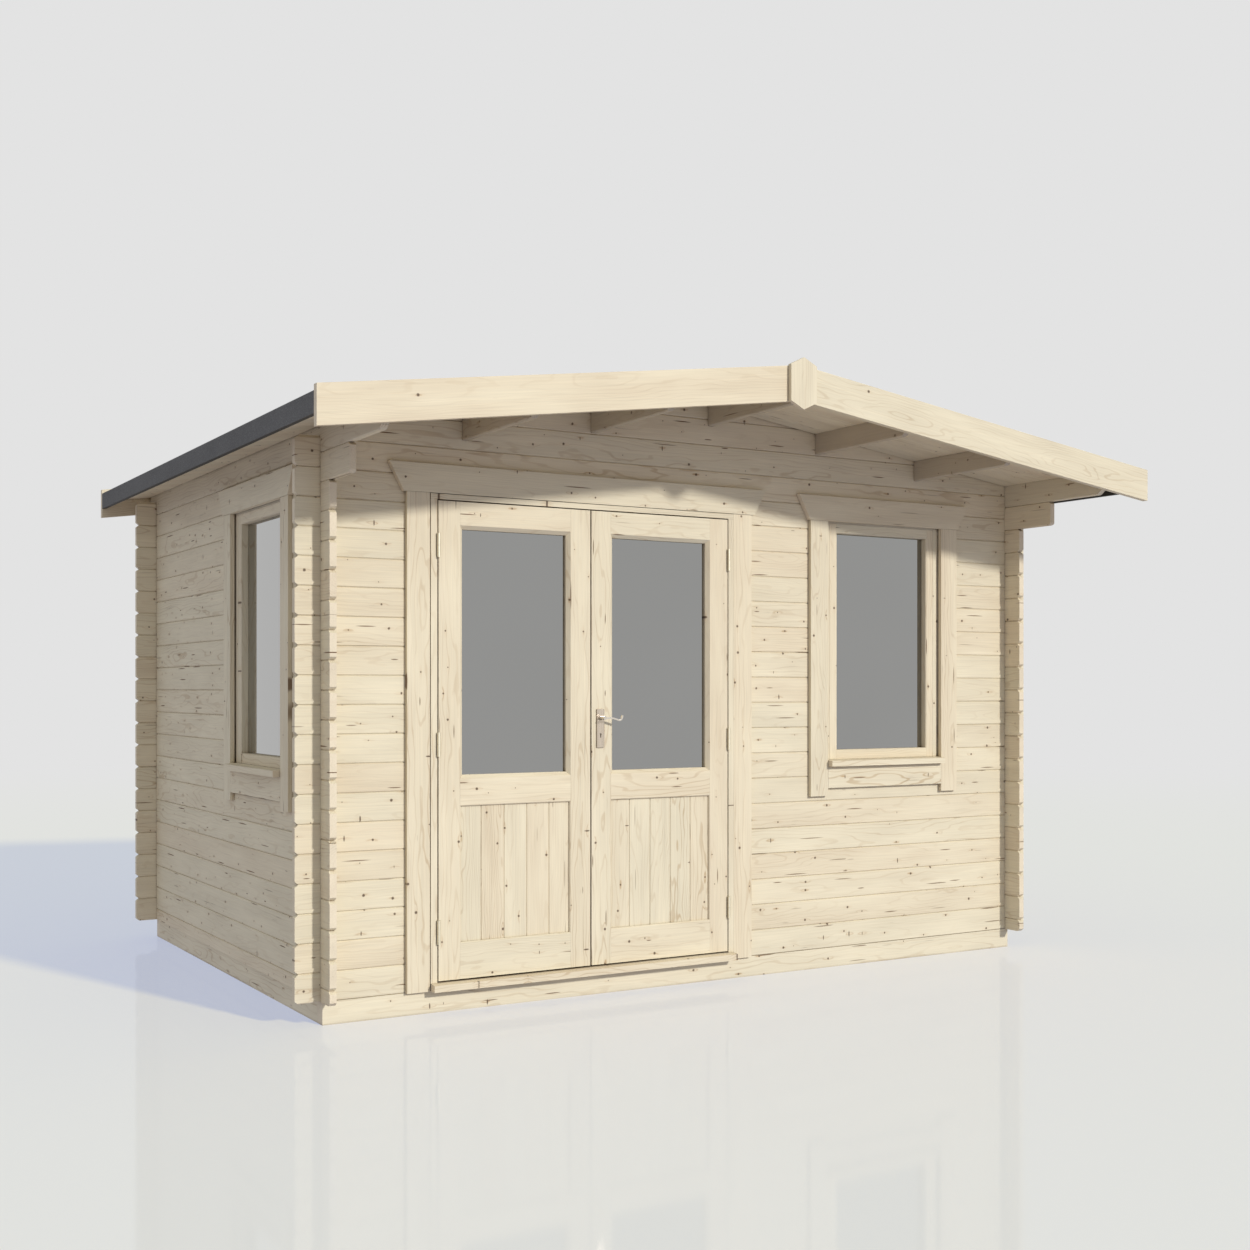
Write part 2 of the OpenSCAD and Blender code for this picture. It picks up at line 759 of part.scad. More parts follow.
// Board over an opening whose ends slant out towards its top
module head_board(foot_half) {
    translate([0, -seat, 0]) rotate([90, 0, 0]) linear_extrude(head_t - seat)
        polygon([[-foot_half, 0], [foot_half, 0], [foot_half + head_flare, head_h],
            [-foot_half - head_flare, head_h]]);
}

door_head_over = 14;                             // head board's foot beyond the door trims
window_head_over = 7;                            // and beyond the window trims

module door_trims() {
    color(spruce) {
        for (x = [door_x - trim_out_half, door_x + trim_in_half + trim_gap])
            translate([x, front_y - trim_t, base_h])
                cube([trim_w - trim_gap, trim_t - seat, head_board_z - base_h - seat]);
        translate([door_x, front_y, head_board_z]) head_board(trim_out_half + door_head_over);
    }
}

// Cuts an opening through wood: w by h, and wider towards the face on y = 0 by
// a sloping edge of the given width and depth
module sight_cut(w, h, bead, deep) {
    over = bead * eps / deep;
    intersection() {
        translate([0, 0, -bead - eps]) linear_extrude(h + 2 * bead + 2 * eps)
            polygon([[-w / 2 - bead - over, -eps], [w / 2 + bead + over, -eps],
                [w / 2, deep], [w / 2, leaf_t], [-w / 2, leaf_t], [-w / 2, deep]]);
        translate([-w / 2 - 2 * bead, 0, 0]) rotate([90, 0, 90]) linear_extrude(w + 4 * bead)
            polygon([[-eps, -bead - over], [deep, 0], [leaf_t, 0], [leaf_t, h], [deep, h],
                [-eps, h + bead + over]]);
    }
}

// Front view of a frame's members, a seat apart: two stiles and the rails between
// them, each rail as [foot, top]. Beside opening number i, between two rails, the
// members reach in by beads[i] and meet in a mitre.
module members(w, stile, rails, beads) {
    last = len(beads);
    for (side = [0, 1]) translate([side * w, 0]) mirror([side, 0])
        polygon(concat([[-eps, rails[0][0]], [stile, rails[0][0]]],
            [for (i = [0:last - 1]) let (b = beads[i], lo = rails[i][1], hi = rails[i + 1][0])
                if (b > 0)
                    for (p = [[stile, lo], [stile + b, lo + b], [stile + b, hi - b], [stile, hi]]) p],
            [[stile, rails[last][1]], [-eps, rails[last][1]]]));
    for (i = [0:last]) {
        l = stile + seat;
        r = w - stile - seat;
        lo = rails[i][0];
        hi = rails[i][1];
        below = i > 0 ? beads[i - 1] : 0;
        above = i < last ? beads[i] : 0;
        polygon(concat([[l, lo]],
            below > 0 ? [[l + below, lo - below], [r - below, lo - below]] : [],
            [[r, lo], [r, hi]],
            above > 0 ? [[r - above, hi + above], [l + above, hi + above]] : [],
            [[l, hi]]));
    }
}

// Four strips that hold a w by h pane in its rebate from behind, depth deep
module inner_beads(w, h, depth) {
    for (x = [0, w - rebate]) translate([x, 0, 0]) cube([rebate, depth, h]);
    for (z = [0, h - rebate])
        translate([rebate + seat, 0, z]) cube([w - 2 * rebate - 2 * seat, depth, rebate]);
}

glass_low = mid_rail_z + mid_rail_h;             // clear opening for the glass, at the face
glass_high = leaf_h - stile_w;
clear_w = leaf_w - 2 * stile_w;
pane_w = clear_w - 2 * bead_w + 2 * rebate;      // rebate for the glass
pane_h = glass_high - glass_low - 2 * bead_w + 2 * rebate;
pane_z = glass_low + bead_w - rebate;
board_w = clear_w - 2 * small_bead + 2 * rebate; // rebate for the panel
board_h = mid_rail_z - bottom_rail_h - 2 * small_bead + 2 * rebate;
board_z = bottom_rail_h + small_bead - rebate;
leaf_lean = 2;                                   // lean of the meeting edge, to swing clear

// One door leaf seen from outside, its hinge edge on x = 0, face on y = 0
module leaf_wood() {
    mid = leaf_w / 2;
    intersection() {
        difference() {
            linear_extrude(leaf_h)
                polygon([[0, 0], [leaf_w, 0], [leaf_w - leaf_lean, leaf_t], [0, leaf_t]]);
            translate([mid, 0, glass_low + bead_w])
                sight_cut(pane_w - 2 * rebate, pane_h - 2 * rebate, bead_w, bead_d);
            translate([mid - pane_w / 2, glass_depth - seat, pane_z]) cube([pane_w, leaf_t, pane_h]);
            translate([mid, 0, bottom_rail_h + small_bead])
                sight_cut(board_w - 2 * rebate, board_h - 2 * rebate, small_bead, small_bead);
            translate([mid - board_w / 2, panel_depth - seat, board_z])
                cube([board_w, leaf_t, board_h]);
        }
        translate([0, leaf_t + eps, 0]) rotate([90, 0, 0]) linear_extrude(leaf_t + 2 * eps)
            members(leaf_w, stile_w,
                [[-eps, bottom_rail_h], [mid_rail_z, glass_low], [glass_high, leaf_h + eps]],
                [small_bead, bead_w]);
    }
    translate([mid - pane_w / 2 + seat, glass_depth + glass_t + seat, pane_z + seat])
        inner_beads(pane_w - 2 * seat, pane_h - 2 * seat, leaf_t - glass_depth - glass_t - seat);
}

module leaf_glass() {
    translate([(leaf_w - pane_w) / 2 + seat, glass_depth, pane_z + seat])
        cube([pane_w - 2 * seat, glass_t, pane_h - 2 * seat]);
}

// Panel of upright boards with V joints on its face
module leaf_panel() {
    w = board_w - 2 * seat;
    step = w / panel_boards;
    v = 3;
    translate([(leaf_w - w) / 2, panel_depth, board_z + seat])
        linear_extrude(board_h - 2 * seat) polygon(concat([[0, 0]],
            [for (i = [1:panel_boards - 1])
                for (p = [[i * step - v, 0], [i * step, v], [i * step + v, 0]]) p],
            [[w, 0], [w, panel_t], [0, panel_t]]));
}

// Places what is made in a leaf's own frame in the left or the right leaf
module in_left_leaf() { translate([door_x - door_w / 2, leaf_front, leaf_z]) children(); }
module in_right_leaf() {
    translate([door_x + door_w / 2, leaf_front, leaf_z]) mirror([1, 0, 0]) children();
}

hinge_mid = [195, 942, leaf_h - 179];            // middles of the hinges on a leaf
hinge_x = -door_gap / 2;                         // hinge axis, from the leaf's edge
hinge_y = -hinge_r - 1.5;                        // hinge axis, from the leaf's face
hinge_leaf_t = 1.8;                              // thickness of a hinge's plates
hinge_plate_d = 30;                              // depth of a hinge's plates
turn_gap = 0.08;                                 // round a pin or neck that turns in a hole
hinge_gap = 0.4;                                 // between a hinge's two barrels

// Lower half of a lift-off hinge: barrel, pin and the plate on the jamb
module hinge_below() {
    translate([hinge_x, hinge_y, -hinge_h / 2]) {
        cylinder(r = hinge_r, h = hinge_h / 2 - hinge_gap);
        cylinder(r = pin_r, h = hinge_h - 8);
    }
    translate([hinge_x - hinge_leaf_t - 0.5, hinge_y, -hinge_h / 2])
        cube([hinge_leaf_t, hinge_plate_d - hinge_y, hinge_h / 2 - hinge_gap]);
}

// Upper half: a barrel that turns on the pin, and the plate on the leaf's edge
module hinge_above() {
    difference() {
        translate([hinge_x, hinge_y, 0]) cylinder(r = hinge_r, h = hinge_h / 2);
        translate([hinge_x, hinge_y, -eps]) cylinder(r = pin_r + turn_gap, h = hinge_h / 2 - 6 + eps);
    }
    difference() {
        translate([hinge_x + 0.5, hinge_y, 0]) cube([hinge_leaf_t, hinge_plate_d - hinge_y, hinge_h / 2]);
        translate([hinge_x, hinge_y, -eps]) cylinder(r = pin_r + turn_gap, h = hinge_h / 2 + 2 * eps);
    }
}

module frame_hinges() {
    color(nickel) for (z = hinge_mid) {
        in_left_leaf() translate([0, 0, z]) hinge_below();
        in_right_leaf() translate([0, 0, z]) hinge_below();
    }
}

spindle_x = leaf_w - spindle_in;                 // lever's axis from the hinge edge
spindle_r = 5;
neck_r = 8;
plate_above = 37;                                // plate's top above the lever's axis
keyhole_drop = 69;                               // keyhole's round top below the axis
keyhole_r = 4;
keyhole_w = 4;
keyhole_h = 14;

module left_leaf() { color(spruce) in_left_leaf() leaf_wood(); }
module left_leaf_panel() { color(spruce) in_left_leaf() leaf_panel(); }
module left_leaf_glass() { color(glass_grey) in_left_leaf() leaf_glass(); }
module left_leaf_hinges() {
    color(nickel) in_left_leaf() for (z = hinge_mid) translate([0, 0, z]) hinge_above();
}

module right_leaf() {
    color(spruce) in_right_leaf() difference() {
        leaf_wood();
        translate([spindle_x, -eps, spindle_z]) rotate([-90, 0, 0])
            cylinder(r = spindle_r + 1, h = leaf_t + 2 * eps);
    }
}
module right_leaf_panel() { color(spruce) in_right_leaf() leaf_panel(); }
module right_leaf_glass() { color(glass_grey) in_right_leaf() leaf_glass(); }
module right_leaf_hinges() {
    color(nickel) in_right_leaf() for (z = hinge_mid) translate([0, 0, z]) hinge_above();
}

// Handle plate with a hole for the lever's neck and a keyhole, face on y = 0
module handle_plate() {
    translate([spindle_x, -plate_t, spindle_z]) difference() {
        translate([-plate_w / 2, 0, plate_above - plate_h])
            cube([plate_w, plate_t - seat, plate_h]);
        translate([0, -eps, 0]) rotate([-90, 0, 0])
            cylinder(r = neck_r + turn_gap, h = plate_t + 2 * eps);
        translate([0, -eps, -keyhole_drop]) rotate([-90, 0, 0])
            cylinder(r = keyhole_r, h = plate_t + 2 * eps);
        translate([-keyhole_w / 2, -eps, -keyhole_drop - keyhole_h])
            cube([keyhole_w, plate_t + 2 * eps, keyhole_h]);
    }
}

module handle_plates() {
    color(nickel) in_right_leaf() {
        handle_plate();
        translate([0, leaf_t, 0]) mirror([0, 1, 0]) handle_plate();
    }
}

// Middle line of the scroll lever, as [x, z, heading]: it runs straight towards
// -X, dips through an arc to a straight slope, curls up and ends in a straight tip
lever_straight = 26;
lever_dip = 16;                                  // degrees that the bar dips
lever_dip_r = 60;
lever_slope = 24;
lever_curl = 91;                                 // degrees that its end curls up
lever_curl_r = 14;
lever_tip = 10;
lever_knee = [-lever_straight - lever_dip_r * sin(lever_dip), lever_dip_r * (cos(lever_dip) - 1)];
lever_low = lever_knee - lever_slope * [cos(lever_dip), sin(lever_dip)];
lever_rise = lever_curl - lever_dip;             // slope of the tip
lever_high = lever_low + lever_curl_r
    * [-sin(lever_dip) - sin(lever_rise), cos(lever_dip) - cos(lever_rise)];
lever_path = concat(
    [[6, 0, 0]],
    [for (h = [0:4:lever_dip])
        [-lever_straight - lever_dip_r * sin(h), lever_dip_r * (cos(h) - 1), h]],
    [for (turn = [0:7:lever_curl]) let (h = lever_dip - turn)
        [lever_low[0] - lever_curl_r * (sin(lever_dip) - sin(h)),
            lever_low[1] + lever_curl_r * (cos(lever_dip) - cos(h)), h]],
    [[lever_high[0] - lever_tip * cos(lever_rise), lever_high[1] + lever_tip * sin(lever_rise),
        -lever_rise]]);

// Scroll lever on its axis, its bar as wide as its path's offset on both sides
module lever_bar() {
    last = len(lever_path) - 1;
    rotate([90, 0, 0]) cylinder(r = neck_r, h = lever_out - 1);
    translate([0, -lever_out + 2 * lever_r, 0]) rotate([90, 0, 0]) linear_extrude(2 * lever_r)
        polygon(concat(
            [for (p = lever_path) [p[0] + lever_r * sin(p[2]), p[1] - lever_r * cos(p[2])]],
            [for (i = [last:-1:0]) let (p = lever_path[i])
                [p[0] - lever_r * sin(p[2]), p[1] + lever_r * cos(p[2])]]));
}

module door_lever() {
    color(nickel) in_right_leaf() translate([spindle_x, 0, spindle_z]) {
        lever_bar();
        translate([0, leaf_t, 0]) mirror([0, 1, 0]) lever_bar();
        rotate([-90, 0, 0]) cylinder(r = spindle_r, h = leaf_t);
    }
}

// ---------------------------------------------------------------- windows

window_clear_half = window_w / 2 - window_show;  // to the frame's inner face

// Frame of a window: two jambs with the head and the foot between them
module window_frame() {
    w = 2 * window_cut_half;
    h = window_cut_top - window_cut_low;
    for (x = [-window_cut_half, window_clear_half])
        translate([x, window_face, window_cut_low])
            cube([window_cut_half - window_clear_half, window_in - window_face, h]);
    for (z = [[window_cut_low, window_sill_z], [window_sill_z + window_h, window_cut_top]])
        translate([-window_clear_half + seat, window_face, z[0]])
            cube([2 * (window_clear_half - seat), window_in - window_face, z[1] - z[0]]);
}

sash_gap = 0.8;
sash_half = window_clear_half - sash_gap;
sash_low = window_sill_z + sash_gap;
sash_h = window_h - 2 * sash_gap;
sash_pane_w = 2 * (sash_half - sash_w - small_bead + rebate);    // rebate for the glass
sash_pane_h = sash_h - 2 * (sash_w + small_bead - rebate);
sash_pane_z = sash_low + sash_w + small_bead - rebate;

module window_sash() {
    translate([0, window_face, sash_low]) intersection() {
        difference() {
            translate([-sash_half, 0, 0]) cube([2 * sash_half, sash_t, sash_h]);
            translate([0, 0, sash_w + small_bead])
                sight_cut(sash_pane_w - 2 * rebate, sash_pane_h - 2 * rebate, small_bead, small_bead);
            translate([-sash_pane_w / 2, sash_glass_depth - seat, sash_pane_z - sash_low])
                cube([sash_pane_w, sash_t, sash_pane_h]);
        }
        translate([-sash_half, sash_t + eps, 0]) rotate([90, 0, 0])
            linear_extrude(sash_t + 2 * eps)
                members(2 * sash_half, sash_w, [[-eps, sash_w], [sash_h - sash_w, sash_h + eps]],
                    [small_bead]);
    }
    behind = sash_glass_depth + glass_t + seat;
    translate([-sash_pane_w / 2 + seat, window_face + behind, sash_pane_z + seat])
        inner_beads(sash_pane_w - 2 * seat, sash_pane_h - 2 * seat, sash_t - behind);
}

module window_pane() {
    translate([-sash_pane_w / 2 + seat, window_face + sash_glass_depth, sash_pane_z + seat])
        cube([sash_pane_w - 2 * seat, glass_t, sash_pane_h - 2 * seat]);
}

window_sill_low = window_sill_z - window_sill_t;

module window_sill() {
    back = window_face - seat;
    translate([-window_w / 2 + 1, 0, window_sill_low]) rotate([90, 0, 90])
        linear_extrude(window_w - 2) polygon([[-window_sill_out, 0], [back, 0],
            [back, window_sill_t], [-window_sill_out, window_sill_t - sill_fall]]);
}

module window_trim_set() {
    apron_z = window_sill_low - seat - trim_w;
    foot = apron_z - trim_tail;
    for (x = [-window_w / 2 - trim_w, window_w / 2])
        translate([x, -trim_t, foot]) cube([trim_w, trim_t - seat, window_head_z - foot - seat]);
    translate([-window_w / 2 + 1, -trim_t, apron_z]) cube([window_w - 2, trim_t - seat, trim_w]);
    translate([0, 0, window_head_z]) head_board(window_w / 2 + trim_w + window_head_over);
}

module window_frames() { color(spruce) at_windows() window_frame(); }
module window_sashes() { color(spruce) at_windows() window_sash(); }
module window_glass() { color(glass_grey) at_windows() window_pane(); }
module window_sills() { color(spruce) at_windows() window_sill(); }
module window_trims() { color(spruce) at_windows() window_trim_set(); }

// ---------------------------------------------------------------- assembly

base_frame();
floor_boards();
front_wall_left();
front_wall_middle();
front_wall_lower();
front_wall_right();
front_gable();
back_wall();
back_gable();
left_wall_front();
left_wall_back();
left_wall_lower();
left_wall_top();
right_wall();
ridge_purlin();
middle_purlins();
eaves_purlins();
roof_boards_left();
roof_boards_right();
roof_felt_left();
roof_felt_right();
eaves_boards();
front_barge_boards();
rear_barge_boards();
finials();
door_frame();
door_sill();
door_trims();
window_frames();
window_sashes();
window_glass();
window_sills();
window_trims();
frame_hinges();
left_leaf();
left_leaf_panel();
left_leaf_glass();
left_leaf_hinges();
right_leaf();
right_leaf_panel();
right_leaf_glass();
right_leaf_hinges();
handle_plates();
door_lever();
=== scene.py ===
import bisect
import math
import random

import bmesh
import bpy
import numpy as np
from bpy.props import FloatProperty, FloatVectorProperty, PointerProperty
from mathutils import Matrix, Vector

bl_info = {
    "name": "Garden log cabin",
    "version": (1, 0, 0),
    "blender": (4, 5, 0),
    "location": "View3D > Sidebar > Log cabin",
    "description": "Finishes a spruce log cabin: planed logs, joinery, felt roof, glass and ironwork",
    "category": "Object",
}

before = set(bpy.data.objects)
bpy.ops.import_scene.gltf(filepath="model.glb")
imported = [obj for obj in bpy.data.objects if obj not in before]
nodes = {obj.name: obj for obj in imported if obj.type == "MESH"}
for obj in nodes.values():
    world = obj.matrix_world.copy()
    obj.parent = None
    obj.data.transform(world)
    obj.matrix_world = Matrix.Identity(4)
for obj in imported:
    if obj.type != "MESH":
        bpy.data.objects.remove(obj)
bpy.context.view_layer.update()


# ---------------------------------------------------------------- colours and nodes


def linear(code):
    """An sRGB hex colour, such as #ead9bf, as linear red, green and blue."""
    shares = [int(code[i : i + 2], 16) / 255 for i in (1, 3, 5)]
    return [s / 12.92 if s <= 0.04045 else ((s + 0.055) / 1.055) ** 2.4 for s in shares]


def colour(name, description, code):
    """A colour property whose default is an sRGB hex value."""
    return FloatVectorProperty(
        name=name, description=description, subtype="COLOR", size=3, min=0, max=1, default=linear(code)
    )


def length(name, description, default):
    """A length property, in metres."""
    return FloatProperty(name=name, description=description, unit="LENGTH", default=default, min=0)


def angle(name, description, degrees):
    """An angle property, from degrees."""
    return FloatProperty(
        name=name, description=description, subtype="ANGLE", default=math.radians(degrees)
    )


def amount(name, description, default):
    """A plain number, such as a share or a strength."""
    return FloatProperty(name=name, description=description, default=default, min=0)


def put(tree, kind, inputs=(), **settings):
    """Adds a node with its own settings.

    An input is a plain value, a socket to link to, or a node whose first output is linked.
    """
    node = tree.nodes.new("ShaderNode" + kind)
    for key, value in settings.items():
        setattr(node, key, value)
    for key, value in dict(inputs).items():
        if isinstance(value, bpy.types.Node):
            value = value.outputs[0]
        if isinstance(value, bpy.types.NodeSocket):
            tree.links.new(value, node.inputs[key])
        elif hasattr(value, "__len__"):
            wanted = len(node.inputs[key].default_value)
            node.inputs[key].default_value = [*value, 1.0][:wanted]
        else:
            node.inputs[key].default_value = value
    return node


def new_material(name):
    """An empty material and its node tree."""
    material = bpy.data.materials.new(name)
    material.use_nodes = True
    material.node_tree.nodes.clear()
    return material, material.node_tree


def dress(names, material):
    """Gives CAD nodes one material."""
    for name in names:
        nodes[name].data.materials.clear()
        nodes[name].data.materials.append(material)


# ---------------------------------------------------------------- boards


def solids_of(mesh, places):
    """The faces of each separate solid, as lists of face numbers, in order of place."""
    keys = [tuple(p) for p in np.round(places, 5)]
    parent = {k: k for k in keys}

    def root(k):
        while parent[k] != k:
            parent[k] = parent[parent[k]]
            k = parent[k]
        return k

    for face in mesh.polygons:
        first = root(keys[face.vertices[0]])
        for v in face.vertices[1:]:
            parent[root(keys[v])] = first
    groups = {}
    for face in mesh.polygons:
        groups.setdefault(root(keys[face.vertices[0]]), []).append(face.index)
    corner = {k: min(keys[v] for f in fs for v in mesh.polygons[f].vertices) for k, fs in groups.items()}
    return [groups[k] for k in sorted(groups, key=corner.get)]


def joints_across(values):
    """The middles of V joints: places where three corners lie within a joint's width."""
    joint_width = 0.008
    found = sorted(set(np.round(values, 4)))
    return [b for a, b, c in zip(found, found[1:], found[2:]) if c - a < joint_width]


def levelled(places, turn):
    """Places turned about the Y axis, so that boards on a roof slope lie level."""
    level = places.copy()
    level[:, 0] = places[:, 0] * math.cos(turn) - places[:, 2] * math.sin(turn)
    level[:, 2] = places[:, 0] * math.sin(turn) + places[:, 2] * math.cos(turn)
    return level


def grain_axes(size, across):
    """The axes along the grain, across it and into the board."""
    if across is None:
        return list(np.argsort(-size))
    along = max((a for a in range(3) if a != across), key=lambda a: size[a])
    return [along, across, 3 - along - across]


def lay_grain(node, across=None, lean=0.0, knotty=1.0, painted_shade=0.0, figured=1.0, dusty_shaded=1.0):
    """Writes where each corner lies in its own board, along, across and into the grain.

    Each separate solid is a board whose grain runs along its longest side. across is
    the axis along which V joints divide a solid into boards, and lean the slope of
    boards that follow the roof, mirrored on its left side. knotty is the share of the
    knots and checks that show, painted_shade the share of a grey painted shade mixed
    into the wood, figured the strength of its rings, and dusty_shaded that of the dust
    and painted shade in its joints.
    """
    faint, strong = 0.08, 0.38  # range of the rings' strength from board to board
    mesh = node.data
    places = np.empty(len(mesh.vertices) * 3, np.float32)
    mesh.vertices.foreach_get("co", places)
    places = places.reshape(-1, 3).astype(float)
    all_faces = np.ones(len(mesh.polygons), np.float32)
    tones, ends, figures = all_faces * 0, all_faces * 0, all_faces * 0
    at_corner = np.zeros((len(mesh.loops), 3), np.float32)
    chance = random.Random(node.name)
    for faces in solids_of(mesh, places):
        used = sorted({v for f in faces for v in mesh.polygons[f].vertices})
        side = math.copysign(1, places[used, 0].mean())
        level = levelled(places, side * lean)
        low, high = level[used].min(0), level[used].max(0)
        axes = grain_axes(high - low, across)
        joints = [] if across is None else joints_across(level[used, across])
        edges = [low[axes[1]], *joints, high[axes[1]]]
        boards = {}
        for f in faces:
            face = mesh.polygons[f]
            number = 0
            if joints:
                centre = level[list(face.vertices)].mean(0)
                number = bisect.bisect(joints, centre[across])
            if number not in boards:
                figure = chance.uniform(faint, strong)
                tone = chance.random()
                boards[number] = (tone, figure, (edges[number] + edges[number + 1]) / 2)
            tones[f], figure, middle_across = boards[number]
            figures[f] = figure * figured
            ends[f] = abs(face.normal[axes[0]]) > 0.7
            start = (low + high) / 2
            start[axes[1]] = middle_across
            for loop in face.loop_indices:
                place = level[mesh.loops[loop].vertex_index] - start
                at_corner[loop] = place[axes]
    for name, kind, domain, values in (
        ("board_place", "FLOAT_VECTOR", "CORNER", at_corner),
        ("board_tone", "FLOAT", "FACE", tones),
        ("board_end", "FLOAT", "FACE", ends),
        ("board_figure", "FLOAT", "FACE", figures),
        ("board_knots", "FLOAT", "FACE", all_faces * knotty),
        ("board_age", "FLOAT", "FACE", all_faces * painted_shade),
        ("board_dust", "FLOAT", "FACE", all_faces * dusty_shaded),
    ):
        layer = mesh.attributes.new(name, kind, domain)
        layer.data.foreach_set("vector" if kind == "FLOAT_VECTOR" else "value", values.ravel())


# ---------------------------------------------------------------- properties


class CabinSpruce(bpy.types.PropertyGroup):
    """Planed spruce."""

    pale: colour("Pale wood", "Wood that grew in spring", "#dbcfb2")
    rosy: colour("Rosy wood", "Warmer patches and boards", "#dccaab")
    late: colour("Late wood", "Thin dark part of each growth ring", "#a68455")
    end: colour("End grain", "Sawn ends of the boards", "#deceb3")
    stain: colour("Stain", "Warm wood round the knots", "#c7aa84")
    knot: colour("Knot", "Small dark knots", "#533f2d")
    check: colour("Check", "Splits along the grain", "#6b4e33")
    ring: length("Ring", "Mean spacing of the growth rings, drawn coarse enough to show", 0.009)
    knot_spacing: length("Knot spacing", "Mean distance between knots", 0.125)
    knot_radius: length("Knot radius", "Radius of the largest knots", 0.0065)
    check_length: length("Check length", "Half the length of the longest checks", 0.08)
    check_width: length("Check width", "Half the width of a check, drawn wide enough to show", 0.003)
    relief: length("Relief", "Depth of the planed surface's texture", 0.0006)
    # dust and painted shade: the colour that darkens joints and inner corners
    dust: colour("Dust", "Dust in joints and inner corners", "#7f684b")
    # painted shade: a grey-brown mixed into the purlins beneath the roof, where shade falls
    painted_shade: colour("Aged wood", "Wood that has greyed in the open", "#8f8376")
    # dust and painted shade: how far the darkening reaches from a joint, and its share in the deepest
    # joints
    dust_and_shade_reach: length("Dust reach", "How far dust spreads from a joint", 0.02)
    dust_and_shade_share: amount("Dust share", "Dust in the deepest joints", 0.8)


class CabinFelt(bpy.types.PropertyGroup):
    """Roofing felt with a mineral surface."""

    face: colour("Felt", "Mineral surface of the felt", "#5e5d5b")
    grit: colour("Grit", "Paler grains in the surface", "#807f7d")
    # also the colour of the painted shadow line at each lap and of the painted shade on the eaves boards
    back: colour("Back", "Bitumen on the felt's back", "#292522")
    grain: length("Grain", "Size of the mineral grains, drawn coarse enough to show", 0.003)
    sheet: length("Sheet", "Width of a felt sheet", 1.0)
    lap: length("Lap", "Overlap of two sheets", 0.08)
    thickness: length("Thickness", "Step in the surface at a sheet's edge", 0.003)
    nail: colour("Nail", "Galvanised head of a clout nail", "#6c6c69")
    nail_spacing: length("Nail spacing", "Distance between clout nails", 0.12)
    nail_inset: length("Nail inset", "How far the nails stand back from a sheet's edge", 0.035)
    nail_head: length("Nail head", "Diameter of a nail's head", 0.013)


class CabinGlass(bpy.types.PropertyGroup):
    """Coated float glass."""

    tint: colour("Tint", "Share of the light that the coating throws back", "#9e9e9c")


class CabinMetal(bpy.types.PropertyGroup):
    """Hinges and handle."""

    nickel: colour("Nickel", "Brushed nickel of the handle's plates", "#cec0af")
    # painted highlight: the lever's nickel, lighter than the plates' nickel
    polish: colour("Polish", "Nickel of the lever, rubbed bright by hands", "#e8dfd2")
    zinc: colour("Zinc", "Galvanised steel of the hinges", "#d8d0bb")
    # grime and painted shade: the colour and reach of the darkening in the keyhole, in inner corners and
    # on faces that look down
    grime_and_shade: colour("Grime", "Dirt in the keyhole and the inner corners", "#241f1a")
    grime_and_shade_reach: length("Grime reach", "How far grime spreads from a corner", 0.008)


class CabinStage(bpy.types.PropertyGroup):
    """Floor, light and camera."""

    floor: colour("Floor", "Share of the light that the pale floor scatters", "#c4b56a")
    floor_glow: colour("Floor glow", "Even light of the floor, which keeps shadows light", "#8d9ecb")
    floor_sheen: amount("Floor sheen", "Share of the floor that mirrors", 0.09)
    floor_blur: amount("Floor blur", "Roughness of that mirror", 0.06)
    bounce: colour("Bounce", "Light that the floor sends back onto the cabin", "#b0b0c1")
    backdrop: colour("Backdrop", "Plain background", "#e3e3e3")
    sky: colour("Sky colour", "Colour of the even light from above", "#f2f8ff")
    eye: FloatVectorProperty(
        name="Eye", description="Where the camera stands", subtype="TRANSLATION", unit="LENGTH",
        default=(-3.8355, -6.6968, 1.29),
    )
    heading: angle("Heading", "Direction that the camera looks in, clockwise from +Y", 30.764)
    lens: FloatProperty(
        name="Lens", description="Focal length on a 36 mm sensor", unit="CAMERA", default=44.643
    )
    rise: amount("Rise", "Upward shift of the picture", 0.0514)
    sun_heading: angle("Sun heading", "Where the sun stands, clockwise from -Y, seen from above", -17.7)
    sun_height: angle("Sun height", "Height of the sun above the horizon", 24.3)
    sun_softness: angle("Sun softness", "Width of the sun's disc", 4.0)
    sun_power: amount("Sun", "Strength of the sun", 2.54)
    sky_power: amount("Sky", "Strength of the even light", 0.625)


# ---------------------------------------------------------------- materials


# Waves to a metre in the spruce's patterns: along the grain, across it and into the board
FIBRES = (3, 230, 230)  # bundles of fibres 4 mm wide, drawn coarser than real so that they show
STREAKS = (5, 170, 170)  # darker streaks 6 mm wide, drawn coarse for the same reason
BENDS = (1.6, 7, 7)  # slow bends of the growth rings, 0.6 m long and 140 mm wide
PATCHES = (2.2, 11, 11)  # patches of stronger and fainter figure, 0.45 m long and 90 mm wide
RAGGED = 220.0  # uneven outline of a knot, 5 mm
# Metres over which the boards are spread in those patterns, so that no two look alike
BOARD_SPREAD = (97, 53, 31)


